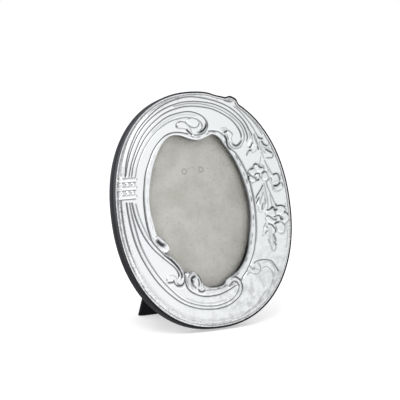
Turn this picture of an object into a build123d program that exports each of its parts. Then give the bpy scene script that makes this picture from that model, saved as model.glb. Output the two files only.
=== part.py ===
from build123d import *
import os
from math import cos, exp, radians, sin, tan

os.makedirs("parts", exist_ok=True)

# Whole frame. Flat coordinates: u to the right, v up, w out of the front, zero on the front plane
half_width = 74.25
half_height = 90.0
outline_power = 2.163
lean_back = 15.6
band_depth = 10.0
base_flat_cut = 0.9
overrun = 20.0

# Leaf tip that curls past the oval at the upper right, by direction from the middle
tip_angle = 67.0
tip_height = 3.2
tip_spread = 1.8
dip_angle = 75.5
dip_depth = 1.5
dip_spread = 3.0
tip_fade = 12.0
outline_step = 12.0
outline_fine_step = 1.5
outline_fine_start = 60.0
outline_fine_end = 84.0

# Velvet covering of the side and back
velvet_thickness = 1.0
velvet_back_thickness = 0.8
velvet_edge_rise = 0.3
velvet_rounding = 0.7

# Pressed silver sheet
sheet_thickness = 0.45
flange_width = 1.5
roll_width = 3.2
roll_height = 2.75
relief_sink = 0.3
rim_height = 1.1
reed_height = 0.75
scroll_height = 1.0
leaf_height = 0.55
petal_height = 0.85
bead_height = 1.3
strip_steps = 16

# Silver pins round the flange
pin_count = 8
pin_sides = 8
pin_shank_radius = 0.35
pin_head_radius = 0.65
pin_head_height = 0.35
pin_length = 5.0

# Window, and the opening behind it in the wood
window_centre_u = -5.5
window_centre_v = -0.5
sight_half_width = 47.5
sight_half_height = 64.0
front_lip_thickness = 1.5
rebate_step = 3.5

# Stack in the rebate
glass_thickness = 1.5
card_thickness = 0.5
edge_clearance = 0.5

# Backing board
board_clearance = 0.3

# Hinge
hinge_drop = 8.5
hinge_rivet_v = 30.2
hinge_rivet_half_gap = 7.1
hinge_leaf_half_width = 12.0
hinge_leaf_thickness = 0.8
hinge_leaf_margin = 5.0
hinge_barrel_radius = 1.75
hinge_moving_radius = 1.45
hinge_pin_radius = 0.8
hinge_pin_fit = 0.05
hinge_middle_half_length = 5.0
hinge_gap = 0.3
hinge_end_gap = 0.15
stop_lug_reach = 4.5
stop_gap = 0.05

# Rivets
rivet_shank_radius = 1.2
rivet_bore_radius = 0.6
rivet_head_radius = 2.3
rivet_head_height = 0.7
rivet_ring_radius = 2.3
rivet_ring_thickness = 0.3
head_top_share = .6

# Facets of small round holes, shanks and heads
round_sides = 12

# Strut
strut_opening = 29.0
strut_core_thickness = 3.8
strut_cloth_thickness = 0.8
strut_start = 2.4
strut_length = 112.0
strut_top_half_width = 16.0
strut_foot_half_width = 31.0
strut_top_radius = 4.0
strut_leaf_length = 15.0
strut_rivet_drop = 10.0

# Turn buttons
button_angles = (38.0, 142.0, 218.0, 322.0)
button_outset = 4.2
button_reach = 10.0
button_tail = 4.0
button_half_width = 2.6
button_thickness = 1.0
button_gap = 0.2
button_screw_radius = 1.0
button_screw_fit = 0.08
button_head_radius = 2.0
button_head_height = 0.8
button_screw_length = 7.0

# Curves of the pressed pattern, as shares of the half width and half height
window_shares = (
    ((-.595, -.183), (-.630, 0), (-.618, .178), (-.547, .383), (-.424, .558), (-.276, .633), (-.114, .600)),
    ((-.114, .600), (-.020, .581), (.101, .604), (.209, .610), (.283, .533)),
    ((.283, .533), (.374, .417), (.448, .250), (.493, .033), (.475, -.167), (.397, -.372), (.263, -.533),
     (.189, -.578)),
    ((.189, -.578), (.148, -.591), (.116, -.609)),
    ((.116, -.609), (.088, -.633), (.034, -.647), (-.040, -.650), (-.108, -.644), (-.156, -.628)),
    ((-.156, -.628), (-.182, -.556), (-.256, -.508), (-.347, -.521)),
    ((-.347, -.521), (-.395, -.441), (-.442, -.393), (-.492, -.358), (-.529, -.340)),
    ((-.529, -.340), (-.471, -.292), (-.516, -.232), (-.595, -.183)),
)
rim_left_shares = ((-.672, -.181), (-.699, 0), (-.683, .184), (-.614, .379), (-.467, .571), (-.350, .641),
                   (-.207, .654), (-.112, .632))
rim_top_shares = ((-.082, .632), (-.020, .620), (.060, .632), (.108, .648), (.195, .649), (.276, .618))
rim_right_shares = ((.318, .556), (.358, .484), (.432, .412), (.485, .311), (.523, .211), (.547, 0),
                    (.536, -.181), (.478, -.378), (.337, -.577), (.283, -.620))
rim_base_shares = ((.119, -.655), (.004, -.684), (-.141, -.679))
s_groove_shares = ((-.387, -.545), (-.400, -.476), (-.475, -.402), (-.555, -.337))
s_edge_shares = ((-.415, -.546), (-.418, -.520), (-.496, -.421), (-.622, -.321))
reed_a_shares = ((-.897, .311), (-.851, .450), (-.775, .582), (-.668, .712), (-.525, .822), (-.346, .902))
reed_b_shares = ((-.860, .360), (-.797, .496), (-.659, .687), (-.442, .845), (-.167, .935), (.132, .925),
                 (.407, .838), (.582, .674))
reed_c_shares = ((-.838, .360), (-.780, .493), (-.642, .678), (-.431, .822), (-.163, .903), (.124, .894),
                 (.389, .809), (.550, .650))
reed_g_shares = ((-.862, .311), (-.800, .480), (-.665, .687), (-.448, .845), (-.300, .905))
reed_h_shares = ((-.856, .311), (-.775, .493), (-.642, .678), (-.431, .822), (-.163, .903), (.124, .894),
                 (.389, .809), (.545, .628), (.540, .550))
reed_d_shares = ((-.824, .306), (-.749, .472), (-.617, .647), (-.415, .788), (-.159, .864), (.116, .856),
                 (.364, .762), (.496, .606), (.494, .567))
reed_e_shares = ((-.797, .303), (-.729, .458), (-.595, .622), (-.401, .756), (-.155, .822))
reed_f_shares = ((-.757, .299), (-.698, .437), (-.568, .590), (-.382, .714), (-.149, .776))
comma_outer_shares = ((-.155, .822), (.018, .805), (.108, .740), (.108, .664), (.010, .628), (-.070, .632))
comma_inner_shares = ((-.149, .776), (.012, .753), (.066, .700), (.048, .668), (.010, .655), (-.060, .662))
fan_a_shares = ((-.925, .115), (-.935, 0), (-.922, -.140), (-.889, -.270), (-.848, -.400), (-.790, -.540),
                (-.705, -.670), (-.585, -.782))
fan_b_shares = ((-.886, .119), (-.877, -.059), (-.840, -.232), (-.765, -.403), (-.646, -.569),
                (-.474, -.720))
crescent_outer_shares = ((-.886, .119), (-.840, -.232), (-.646, -.569), (-.241, -.816), (.022, -.833),
                         (.259, -.739), (.260, -.640), (.190, -.600))
crescent_inner_shares = ((-.851, .117), (-.799, -.220), (-.614, -.538), (-.236, -.789), (.018, -.807),
                         (.225, -.715), (.222, -.655), (.180, -.632))
fan_c_shares = ((-.830, .114), (-.796, -.052), (-.729, -.199), (-.640, -.305))
fan_d_shares = ((-.789, .104), (-.772, 0), (-.738, -.098), (-.690, -.195))
bowl_upper_shares = ((-.342, -.623), (-.288, -.679), (-.144, -.724), (.009, -.722), (.155, -.686))
bowl_lower_shares = ((-.390, -.700), (-.310, -.745), (-.150, -.780), (.010, -.785), (.160, -.735))
arch_outer_shares = ((.450, -.500), (.539, -.475), (.620, -.478), (.687, -.525), (.737, -.597))
arch_inner_shares = ((.475, -.515), (.545, -.500), (.620, -.508), (.670, -.555), (.690, -.640))
border_outer_shares = ((.445, .853), (.580, .740), (.690, .615), (.735, .555))
border_inner_shares = ((.447, .830), (.560, .710), (.655, .585), (.700, .565))

# Blobs of the pattern: middle u, middle v, semi length, semi width, all shares, and a turn in degrees
petal_shares = (
    (.579, .284, .062, .038, 35), (.657, .304, .057, .036, -10), (.704, .233, .047, .040, 0),
    (.560, .220, .046, .027, -15), (.628, .208, .035, .020, 20),
    (.727, -.089, .059, .036, 10), (.843, -.073, .064, .043, -5), (.892, -.140, .044, .046, -20),
    (.824, -.222, .054, .048, 10), (.722, -.147, .062, .031, -15),
)
ball_shares = ((.626, .242, .028, .023, 0), (.805, -.138, .032, .026, 0), (.835, .200, .057, .048, 0),
               (.283, .652, .032, .017, 0))
cup_shares = ((.848, .138, .066, .043, 10), (.902, .202, .027, .036, 0))
lobe_shares = (
    (-.155, .708, .078, .026, -5), (-.025, .722, .070, .034, -25), (.360, .600, .030, .050, 10),
    (-.496, -.545, .052, .026, -5), (-.178, -.655, .032, .021, 0), (-.232, -.590, .024, .040, 10),
    (.505, -.540, .030, .030, 0),
)
leaf_shares = (
    ((.670, .170), (.655, .100), (.570, .050), (.600, .030), (.575, -.010), (.610, -.075), (.640, -.005),
     (.675, .035)),
    ((.680, -.180), (.620, -.215), (.600, -.275), (.655, -.265), (.670, -.340), (.705, -.410), (.735, -.340),
     (.720, -.270), (.755, -.235), (.725, -.190)),
    ((.735, .550), (.745, .500), (.800, .480), (.790, .450), (.845, .410), (.790, .385), (.730, .400),
     (.715, .470)),
    ((.590, .640), (.625, .560), (.590, .490), (.535, .420), (.560, .510), (.595, .560)),
)
stem_shares = (
    ((.690, .450), (.740, .350), (.795, .240)), ((.690, .450), (.680, .370), (.665, .335)),
    ((.700, .190), (.715, .080), (.725, -.040)), ((.715, .190), (.750, .060), (.790, -.045)),
)
stem_width_share = .010
loop_shares = (((-.655, -.180), (-.600, -.295), (-.530, -.325), (-.485, -.290), (-.530, -.240), (-.600, -.195)),
               ((-.330, -.530), (-.325, -.640), (-.235, -.690), (-.190, -.640), (-.195, -.560), (-.260, -.520)))
hollow_shares = (((-.614, -.210), (-.580, -.270), (-.520, -.282), (-.520, -.270), (-.570, -.235), (-.598, -.213)),
                 ((-.290, -.555), (-.285, -.620), (-.250, -.645), (-.262, -.600), (-.245, -.550), (-.265, -.545)))
bar_shares = ((-.835, .288), (-.849, .221), (-.858, .150))
bar_half_length_share = .078
bar_half_width_share = .011
bead_row_shares = ((-.913, .255), (-.853, .256), (-.794, .253), (-.922, .186), (-.862, .186), (-.808, .185))
bead_half_size_share = .020
field_shares = (.04, .96)
crown_shares = (.24, .76)
shoulder_height_share = .7
blob_sides = 8
blob_shoulder_share = .80
blob_crown_share = .45
roll_shares = ((.25, .62), (1, 1))


def flat_point(shares, level=0):
    return Vector(shares[0] * half_width, shares[1] * half_height, level)


def polar(angle, radius):
    return Vector(radius * cos(radians(angle)), radius * sin(radians(angle)), 0)


# Oval outline
def oval_point(angle):
    across = abs(cos(radians(angle)) / half_width) ** outline_power
    upward = abs(sin(radians(angle)) / half_height) ** outline_power
    return polar(angle, (across + upward) ** (-1 / outline_power))


def tip_bulge(angle, inset):
    tip = tip_height * exp(-((angle - tip_angle) / tip_spread) ** 2)
    dip = dip_depth * exp(-((angle - dip_angle) / dip_spread) ** 2)
    return (tip - dip) * (1 - inset / tip_fade)


def outline_angles():
    angles = []
    angle = 0
    while angle < 360:
        angles.append(angle)
        fine = outline_fine_start <= angle < outline_fine_end
        angle += outline_fine_step if fine else outline_step
    return angles


def outline_point(angle, inset):
    before = oval_point(angle - outline_fine_step)
    after = oval_point(angle + outline_fine_step)
    normal = (after - before).normalized().cross(Vector(0, 0, 1))
    return oval_point(angle) + normal * (tip_bulge(angle, inset) - inset)


def outline_wire(inset, level):
    points = [outline_point(angle, inset) + Vector(0, 0, level) for angle in outline_angles()]
    return Wire([Spline(points, periodic=True)])


def oval_stack(levels):
    return Solid.make_loft([outline_wire(inset, level) for inset, level in levels], True)


# Ellipse round the window's middle
def sight_block(grow, bottom, top):
    outline = Ellipse(sight_half_width + grow, sight_half_height + grow)
    return extrude(Pos(window_centre_u, window_centre_v, bottom) * outline, top - bottom)


# Places of the main layers, and the stand that puts the middle of the frame's flat foot at the origin
lip_back = -front_lip_thickness
card_front = lip_back - glass_thickness
board_front = card_front - card_thickness
band_back = -band_depth
wood_back = band_back + velvet_back_thickness
field_level = sheet_thickness + roll_height
hinge_v = hinge_rivet_v - hinge_drop
hinge_w = band_back - hinge_barrel_radius
leaf_outer = band_back - hinge_leaf_thickness
strut_leaf_front = band_back - hinge_gap
strut_front = strut_leaf_front - hinge_leaf_thickness
strut_back = strut_front - strut_core_thickness - strut_cloth_thickness - strut_cloth_thickness

slope = radians(lean_back)
stand = Plane(
    origin=(0, half_height * sin(slope) - band_depth * cos(slope) + base_flat_cut / tan(slope) / 2,
            half_height * cos(slope) + band_depth * sin(slope) - base_flat_cut),
    x_dir=(1, 0, 0),
    z_dir=(0, -cos(slope), sin(slope)),
)
reach = half_height + band_depth + overrun
ground = Pos(0, 0, -reach) * Box(reach + reach, reach + reach, reach + reach)
cloth_ground = Pos(0, 0, strut_cloth_thickness - reach) * Box(reach + reach, reach + reach, reach + reach)


def many_sided(centre, radius, level, sides=round_sides):
    return Pos(centre.X, centre.Y, level) * RegularPolygon(radius, sides)


def disc(centre, radius, bottom, top, sides=round_sides):
    return extrude(many_sided(centre, radius, bottom, sides), top - bottom, dir=(0, 0, 1))


def box_between(low, high):
    size = Vector(high) - Vector(low)
    middle = (Vector(high) + Vector(low)) / 2
    return Pos(middle.X, middle.Y, middle.Z) * Box(size.X, size.Y, size.Z)


# Raised forms of the sheet
def between(first, second, share, level):
    points = []
    for step in range(strip_steps + 1):
        one = first.position_at(step / strip_steps)
        two = second.position_at(step / strip_steps)
        points.append(one + (two - one) * share + Vector(0, 0, level))
    return points


def strip_wire(first, second, shares, level):
    one = between(first, second, shares[0], level)
    two = between(first, second, shares[1], level)
    return Wire.make_polygon(one + two[::-1], close=True)


def strip(first_shares, second_shares, height):
    first = Spline([flat_point(p) for p in first_shares])
    second = Spline([flat_point(p) for p in second_shares])
    if (first @ 0 - second @ 0).length > (first @ 0 - second @ 1).length:
        second = Spline([flat_point(p) for p in reversed(second_shares)])
    levels = ((field_shares, field_level - relief_sink), (crown_shares, field_level + height))
    return Solid.make_loft([strip_wire(first, second, s, level) for s, level in levels], True)


def blob_wire(blob, grow, level):
    middle = flat_point(blob, level)
    turn = radians(blob[4])
    points = []
    for step in range(blob_sides):
        along = grow * blob[2] * half_width * cos(radians(step * 360 / blob_sides))
        aside = grow * blob[3] * half_height * sin(radians(step * 360 / blob_sides))
        points.append(middle + Vector(along * cos(turn) - aside * sin(turn), along * sin(turn) + aside * cos(turn), 0))
    return Wire.make_polygon(points, close=True)


def blob_solid(blob, height):
    levels = ((1, field_level - relief_sink), (blob_shoulder_share, field_level + height * shoulder_height_share),
              (blob_crown_share, field_level + height))
    return Solid.make_loft([blob_wire(blob, grow, level) for grow, level in levels], True)


def leaf_solid(points, height):
    wire = Wire.make_polygon([flat_point(p, field_level - relief_sink) for p in points], close=True)
    return extrude(Face(wire), relief_sink + height, dir=(0, 0, 1))


def round_solid(points, bottom, top):
    edge = Spline([flat_point(p, bottom) for p in points], periodic=True)
    return extrude(Face(Wire([edge])), top - bottom, dir=(0, 0, 1))


def stem_solid(points):
    left = [(p[0] - stem_width_share, p[1]) for p in points]
    right = [(p[0] + stem_width_share, p[1]) for p in points]
    return strip(left, right, leaf_height)


def window_face(level):
    edges = [Spline([flat_point(p, level) for p in piece]) for piece in window_shares]
    return Face(Wire(edges))


def binding():
    pieces = []
    for mid in bar_shares:
        centre = flat_point(mid)
        length = bar_half_length_share * half_height
        width = bar_half_width_share * half_height
        pieces.append(box_between(
            (centre.X - length, centre.Y - width, field_level - relief_sink),
            (centre.X + length, centre.Y + width, field_level + bead_height)))
    for mid in bead_row_shares:
        size = bead_half_size_share
        pieces.append(blob_solid((mid[0], mid[1], size, size, 0), scroll_height))
    return pieces


def relief():
    strips = (
        (reed_a_shares, reed_g_shares, reed_height),
        (reed_b_shares, reed_c_shares, reed_height),
        (reed_h_shares, reed_d_shares, reed_height),
        (reed_d_shares[:5], reed_e_shares, reed_height),
        (reed_e_shares, reed_f_shares, reed_height),
        (comma_outer_shares, comma_inner_shares, scroll_height),
        (fan_a_shares, fan_b_shares, reed_height),
        (crescent_outer_shares, crescent_inner_shares, scroll_height),
        (fan_c_shares, fan_d_shares, reed_height),
        (s_edge_shares, s_groove_shares, scroll_height),
        (bowl_upper_shares, bowl_lower_shares, reed_height),
        (arch_outer_shares, arch_inner_shares, reed_height),
        (border_outer_shares, border_inner_shares, leaf_height),
        (rim_left_shares, window_shares[0], rim_height),
        (rim_top_shares, window_shares[1], rim_height),
        (rim_right_shares, window_shares[2], rim_height),
        (rim_base_shares, window_shares[4], rim_height),
        (s_groove_shares, window_shares[6], scroll_height),
    )
    pieces = [strip(one, two, height) for one, two, height in strips]
    pieces += [blob_solid(b, petal_height) for b in petal_shares]
    pieces += [blob_solid(b, bead_height) for b in ball_shares]
    pieces += [blob_solid(b, leaf_height) for b in cup_shares]
    pieces += [blob_solid(b, scroll_height) for b in lobe_shares]
    pieces += [leaf_solid(points, leaf_height) for points in leaf_shares]
    pieces += [stem_solid(points) for points in stem_shares]
    return pieces + binding()


# Domed tray of sheet with a flat nailing flange round it
def tray():
    rise = [(velvet_thickness + flange_width + roll_width * out_share, sheet_thickness + roll_height * up_share)
            for out_share, up_share in roll_shares]
    foot = velvet_thickness + flange_width
    outer = oval_stack([(velvet_thickness, 0), (velvet_thickness, sheet_thickness), (foot, sheet_thickness)] + rise)
    inner = oval_stack([(foot + sheet_thickness, -overrun), (foot + sheet_thickness, 0)] +
                       [(inset + sheet_thickness, level - sheet_thickness) for inset, level in rise])
    return outer - inner - extrude(window_face(-overrun), overrun + overrun, dir=(0, 0, 1))


def silver_front():
    body = tray()
    for piece in relief():
        body += piece
    for loop, hollow in zip(loop_shares, hollow_shares):
        body += round_solid(loop, field_level - relief_sink, field_level + scroll_height)
        body -= round_solid(hollow, field_level, field_level + overrun)
    for mid in pin_places():
        body -= pin_prism(mid, pin_shank_radius, -overrun, overrun)
    return body


def pin_places():
    inset = velvet_thickness + flange_width / 2
    return [outline_point((k + .5) * 360 / pin_count, inset) for k in range(pin_count)]


def pin_prism(mid, radius, bottom, top):
    return disc(mid, radius, bottom, top, pin_sides)


def front_pins():
    pins = []
    for mid in pin_places():
        shank = pin_prism(mid, pin_shank_radius, sheet_thickness - pin_length, sheet_thickness)
        cap = pin_prism(mid, pin_head_radius, sheet_thickness, sheet_thickness + pin_head_height)
        pins.append(shank + cap)
    return pins


# Wooden ring with its rebate, and the velvet round it
def wood_core():
    body = oval_stack([(velvet_thickness, wood_back), (velvet_thickness, 0)])
    body -= sight_block(0, -overrun, overrun)
    body -= sight_block(rebate_step, -overrun, lip_back)
    body -= [pin_prism(mid, pin_shank_radius, sheet_thickness - pin_length, overrun) for mid in pin_places()]
    body -= [disc(mid, button_screw_radius, band_back, band_back + button_screw_length)
             for mid, _ in button_places()]
    return body


def velvet_band():
    outer = oval_stack([(velvet_rounding, band_back), (0, band_back + velvet_rounding), (0, velvet_edge_rise)])
    inner = oval_stack([(velvet_thickness, wood_back), (velvet_thickness, overrun)])
    body = outer - inner - sight_block(rebate_step, -overrun, overrun)
    return body - [disc(mid, button_screw_radius, -overrun, 0) for mid, _ in button_places()]


# Glass, card and backing board, stacked in the rebate
def glass_pane():
    return sight_block(rebate_step - edge_clearance, card_front, lip_back)


def display_card():
    return sight_block(rebate_step - edge_clearance, board_front, card_front)


def board_rivet_places():
    return [Vector(window_centre_u + side * hinge_rivet_half_gap, hinge_rivet_v, 0) for side in (-1, 1)]


def backing_board():
    body = sight_block(rebate_step - board_clearance, wood_back, board_front)
    for mid in board_rivet_places():
        body -= disc(mid, rivet_shank_radius, wood_back, board_front)
        body -= disc(mid, rivet_ring_radius, board_front - rivet_ring_thickness, board_front)
    return body


def backing_cloth():
    body = sight_block(rebate_step - board_clearance, band_back, wood_back)
    return body - [disc(mid, rivet_shank_radius, band_back, wood_back) for mid in board_rivet_places()]


# Hinge: three knuckles on one pin, and a lug that stops the strut
def knuckle(radius, start, end):
    middle = Vector(window_centre_u + start, hinge_v, hinge_w)
    return Solid.make_cylinder(radius, end - start, Plane(middle, x_dir=(0, 1, 0), z_dir=(1, 0, 0)))


outer_start = hinge_middle_half_length + hinge_end_gap
swing_room = hinge_barrel_radius + hinge_gap


def hinge_board_leaf():
    top = hinge_rivet_v + hinge_leaf_margin
    body = box_between(
        (window_centre_u - hinge_leaf_half_width, hinge_v + swing_room, leaf_outer),
        (window_centre_u + hinge_leaf_half_width, top, band_back))
    corners = body.edges().filter_by(Axis.Z).group_by(Axis.Y)[-1]
    body = fillet(corners, hinge_leaf_margin / 2)
    for side in (-1, 1):
        ends = sorted((side * outer_start, side * hinge_leaf_half_width))
        body += knuckle(hinge_barrel_radius, ends[0], ends[1])
        body += box_between(
            (window_centre_u + ends[0], hinge_v, leaf_outer),
            (window_centre_u + ends[1], top - hinge_leaf_margin, band_back))
    body -= knuckle(hinge_pin_radius, -overrun, overrun)
    return body - [disc(mid, rivet_shank_radius, leaf_outer, band_back) for mid in board_rivet_places()]


def hinge_pin():
    return knuckle(hinge_pin_radius, -hinge_leaf_half_width, hinge_leaf_half_width)


def board_rivets():
    rivets = []
    for mid in board_rivet_places():
        body = disc(mid, rivet_shank_radius, leaf_outer, board_front)
        body += disc(mid, rivet_ring_radius, board_front - rivet_ring_thickness, board_front)
        body += head(mid, rivet_head_radius, rivet_head_height, leaf_outer)
        rivets.append(body - disc(mid, rivet_bore_radius, wood_back, board_front))
    return rivets


def head(mid, radius, height, level):
    base = many_sided(mid, radius, level).wire()
    top = many_sided(mid, radius * head_top_share, level - height).wire()
    return Solid.make_loft([base, top], True)


# Strut, drawn folded flat against the back and then swung open about the hinge pin
def swing(shape):
    return shape.rotate(Axis((0, hinge_v, hinge_w), (1, 0, 0)), strut_opening)


def strut_rivet_places():
    return [Vector(window_centre_u + side * hinge_rivet_half_gap, hinge_v - strut_rivet_drop, 0)
            for side in (-1, 1)]


def strut_block(inset, bottom, top):
    top_v = hinge_v - strut_start - inset
    foot_v = hinge_v - strut_start - strut_length
    half_top = strut_top_half_width - inset
    half_foot = strut_foot_half_width - inset
    face = Face(Wire.make_polygon([
        (window_centre_u - half_top, top_v, bottom), (window_centre_u + half_top, top_v, bottom),
        (window_centre_u + half_foot, foot_v, bottom), (window_centre_u - half_foot, foot_v, bottom)]))
    body = extrude(face, top - bottom, dir=(0, 0, 1))
    corners = body.edges().filter_by(Axis.Z).group_by(Axis.Y)[-1]
    return fillet(corners, strut_top_radius - inset)


def strut_holes():
    return [disc(mid, rivet_shank_radius, strut_back, strut_front) for mid in strut_rivet_places()]


def strut_board():
    body = strut_block(strut_cloth_thickness, strut_back + strut_cloth_thickness,
                       strut_front - strut_cloth_thickness)
    return stand_up(swing(body - strut_holes())) - cloth_ground


def strut_cloth():
    body = strut_block(0, strut_back, strut_front)
    outer = stand_up(swing(body - strut_holes())) - ground
    inner = strut_block(strut_cloth_thickness, strut_back + strut_cloth_thickness,
                        strut_front - strut_cloth_thickness)
    return outer - (stand_up(swing(inner)) - cloth_ground)


def hinge_strut_leaf():
    body = box_between(
        (window_centre_u - hinge_leaf_half_width, hinge_v - swing_room - strut_leaf_length, strut_front),
        (window_centre_u + hinge_leaf_half_width, hinge_v - swing_room, strut_leaf_front))
    corners = body.edges().filter_by(Axis.Z).group_by(Axis.Y)[0]
    body = fillet(corners, hinge_leaf_margin / 2)
    body += box_between(
        (window_centre_u - hinge_middle_half_length, hinge_v - swing_room, strut_front),
        (window_centre_u + hinge_middle_half_length, hinge_v, strut_leaf_front))
    body = swing(body - [disc(mid, rivet_shank_radius, strut_front, strut_leaf_front)
                         for mid in strut_rivet_places()])
    body += knuckle(hinge_moving_radius, -hinge_middle_half_length, hinge_middle_half_length)
    lug_face = leaf_outer - stop_gap
    body += box_between(
        (window_centre_u - hinge_middle_half_length, hinge_v, lug_face - hinge_leaf_thickness),
        (window_centre_u + hinge_middle_half_length, hinge_v + stop_lug_reach, lug_face))
    return body - knuckle(hinge_pin_radius + hinge_pin_fit, -overrun, overrun)


def strut_rivets():
    rivets = []
    for mid in strut_rivet_places():
        shank = disc(mid, rivet_shank_radius, strut_back, strut_leaf_front)
        rivets.append(swing(shank + head(mid, rivet_head_radius, rivet_head_height, strut_back)))
    return rivets


# Turn buttons that hold the backing board
def button_places():
    places = []
    for angle in button_angles:
        across = (cos(radians(angle)) / (sight_half_width + rebate_step)) ** 2
        upward = (sin(radians(angle)) / (sight_half_height + rebate_step)) ** 2
        radius = (across + upward) ** -0.5 + button_outset
        places.append((polar(angle, radius) + Vector(window_centre_u, window_centre_v, 0), angle))
    return places


def turn_button(mid, angle):
    top = band_back - button_gap
    length = button_reach + button_tail
    shift = (button_tail - button_reach) / 2
    plane = Plane((mid.X, mid.Y, top - button_thickness), x_dir=(cos(radians(angle)), sin(radians(angle)), 0))
    outline = Pos(shift, 0) * SlotOverall(length, button_half_width + button_half_width)
    body = extrude(plane * outline, button_thickness, dir=(0, 0, 1))
    return body - disc(mid, button_screw_radius + button_screw_fit, top - button_thickness, top)


def button_screws():
    screws = []
    for mid, _ in button_places():
        under = band_back - button_gap - button_thickness - button_gap
        shank = disc(mid, button_screw_radius, under, band_back + button_screw_length)
        screws.append(shank + head(mid, button_head_radius, button_head_height, under))
    return screws


def stand_up(shape):
    return stand.location * shape


def write(name, pieces, upright=False):
    pieces = pieces if isinstance(pieces, list) else [pieces]
    placed = [piece if upright else stand_up(piece) for piece in pieces]
    solids = [solid for piece in placed for solid in piece.solids()]
    shape = solids[0] if len(solids) == 1 else Compound(solids)
    shape.label = name
    export_step(shape, "parts/" + name + ".step")


def cut_flat(shape):
    return stand_up(shape) - ground


write("silver_front", silver_front())
write("front_pins", front_pins())
write("wood_core", wood_core())
write("velvet_band", cut_flat(velvet_band()), True)
write("glass_pane", glass_pane())
write("display_card", display_card())
write("backing_board", backing_board())
write("backing_cloth", backing_cloth())
write("hinge_board_leaf", hinge_board_leaf())
write("hinge_pin", hinge_pin())
write("board_rivets", board_rivets())
write("strut_board", strut_board(), True)
write("strut_cloth", strut_cloth(), True)
write("hinge_strut_leaf", hinge_strut_leaf())
write("strut_rivets", strut_rivets())
for side, (place, angle) in zip(("upper_right", "upper_left", "lower_left", "lower_right"), button_places()):
    write("turn_button_" + side, turn_button(place, angle))
write("button_screws", button_screws())
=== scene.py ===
import math

import bpy
import numpy as np
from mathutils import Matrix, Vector


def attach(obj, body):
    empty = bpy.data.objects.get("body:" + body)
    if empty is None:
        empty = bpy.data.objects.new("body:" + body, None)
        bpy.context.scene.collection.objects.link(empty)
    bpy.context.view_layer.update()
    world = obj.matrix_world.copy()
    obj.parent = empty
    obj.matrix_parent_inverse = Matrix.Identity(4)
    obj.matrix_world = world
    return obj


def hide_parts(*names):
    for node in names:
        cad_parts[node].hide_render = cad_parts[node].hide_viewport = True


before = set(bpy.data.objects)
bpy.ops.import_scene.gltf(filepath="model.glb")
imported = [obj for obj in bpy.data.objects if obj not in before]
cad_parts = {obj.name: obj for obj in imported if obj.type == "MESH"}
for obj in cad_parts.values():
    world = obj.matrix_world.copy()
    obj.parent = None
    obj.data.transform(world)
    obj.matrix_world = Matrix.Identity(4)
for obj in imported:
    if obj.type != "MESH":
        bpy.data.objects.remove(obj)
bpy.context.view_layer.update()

bl_info = {
    "name": "Oval Picture Frame",
    "version": (1, 0, 0),
    "blender": (4, 5, 0),
    "location": "View3D > Sidebar > Oval Frame",
    "description": "Pressed silver front, velvet, glass, card, hinge and stage of an oval picture frame",
    "category": "Add Mesh",
}

MM = 0.001


def length(name, description, value, **more):
    return bpy.props.FloatProperty(name=name, description=description, default=value * MM, unit="LENGTH",
                                   precision=5, **more)


def angle(name, description, degrees):
    return bpy.props.FloatProperty(name=name, description=description, default=math.radians(degrees),
                                   subtype="ANGLE")


def colour(name, description, code):
    return bpy.props.StringProperty(name=name, description=description + ", as an sRGB hex value",
                                    default=code)


class OvalFrameSizes(bpy.types.PropertyGroup):
    half_width: length("Half width", "Half of the oval's width over the velvet", 74.25)
    half_height: length("Half height", "Half of the oval's height over the velvet", 90)
    band_depth: length("Band depth", "Depth of the wooden ring from front to back", 10)
    base_flat_cut: length("Base flat", "How much is taken off the lowest point so that the oval stands", 0.9)
    lean_back: angle("Lean", "How far the frame leans back", 15.6)
    velvet: length("Velvet", "Thickness of the velvet round the side", 1)
    sheet: length("Sheet", "Thickness of the silver sheet", 0.45)
    flange: length("Flange", "Width of the flat nailed edge of the sheet", 1.5)
    roll_width: length("Roll width", "Width over which the border of the sheet rises", 3.2)
    roll_height: length("Roll height", "How far the border rises above the flange", 2.75)
    wall_drop: length("Wall drop", "How far the wall round the window reaches below the wood's face", 0.6)
    crease_radius: length("Crease radius", "Width of the round shoulder beside a crease", 2.3)
    strut_opening: angle("Strut opening", "Angle of the open strut", 29)


class OvalFrameColours(bpy.types.PropertyGroup):
    silver: colour("Silver", "Polished face of the sheet", "#F4F6F8")
    silver_right: colour("Silver on the right", "The same face where it turns from the light", "#EAEDEE")
    # Painted shade in patches low on the right, away from the light
    silver_low_right_shade: colour("Dull silver", "Patches low on the right that polishing missed", "#B4B5B5")
    # Painted shade and reflection on the hammer facets of the border
    silver_fleck_shade: colour("Silver flecks", "Dark side of the hammered flecks on the border", "#969492")
    # Colours of the dark film: patina in the creases together with painted shade in the hollows, gaps and
    # recesses
    patina_and_shade: colour("Tarnish", "Dark film left in the creases", "#1E1F22")
    deepest_patina_and_shade: colour("Deep tarnish", "The blackest film, at the bottom of the hollows", "#060607")
    velvet: colour("Velvet", "Ground of the velvet", "#1A1A1E")
    # Brushed nap together with painted light and shade on the velvet
    velvet_nap_and_light: colour("Velvet nap", "Nap where it is brushed or catches the light", "#66676C")
    velvet_sheen: colour("Velvet sheen", "Tint of the light that grazes the pile", "#6C6D76")
    card: colour("Card", "Plain insert behind the glass", "#C6C1BC")
    card_shade: colour("Card, right side", "The card where it darkens to the right", "#8C8A84")
    # A darker, blotchy patch right of the window's middle
    card_dark_patch: colour("Card stain", "The one old stain on the card", "#7D766C")
    # Pressed ring marks, darkened in their grooves by painted shade
    card_ring_mark_and_shade: colour("Card rings", "Marks pressed by the rivets", "#6E6D69")
    nickel: colour("Nickel", "Hinge and rivets", "#B9B6AE")
    brass: colour("Brass", "Turn buttons and their screws", "#C9A45C")
    pins: colour("Pins", "Heads of the small pins", "#DDDAD4")
    floor: colour("Floor", "Surface under the frame", "#FAFAFB")


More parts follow.
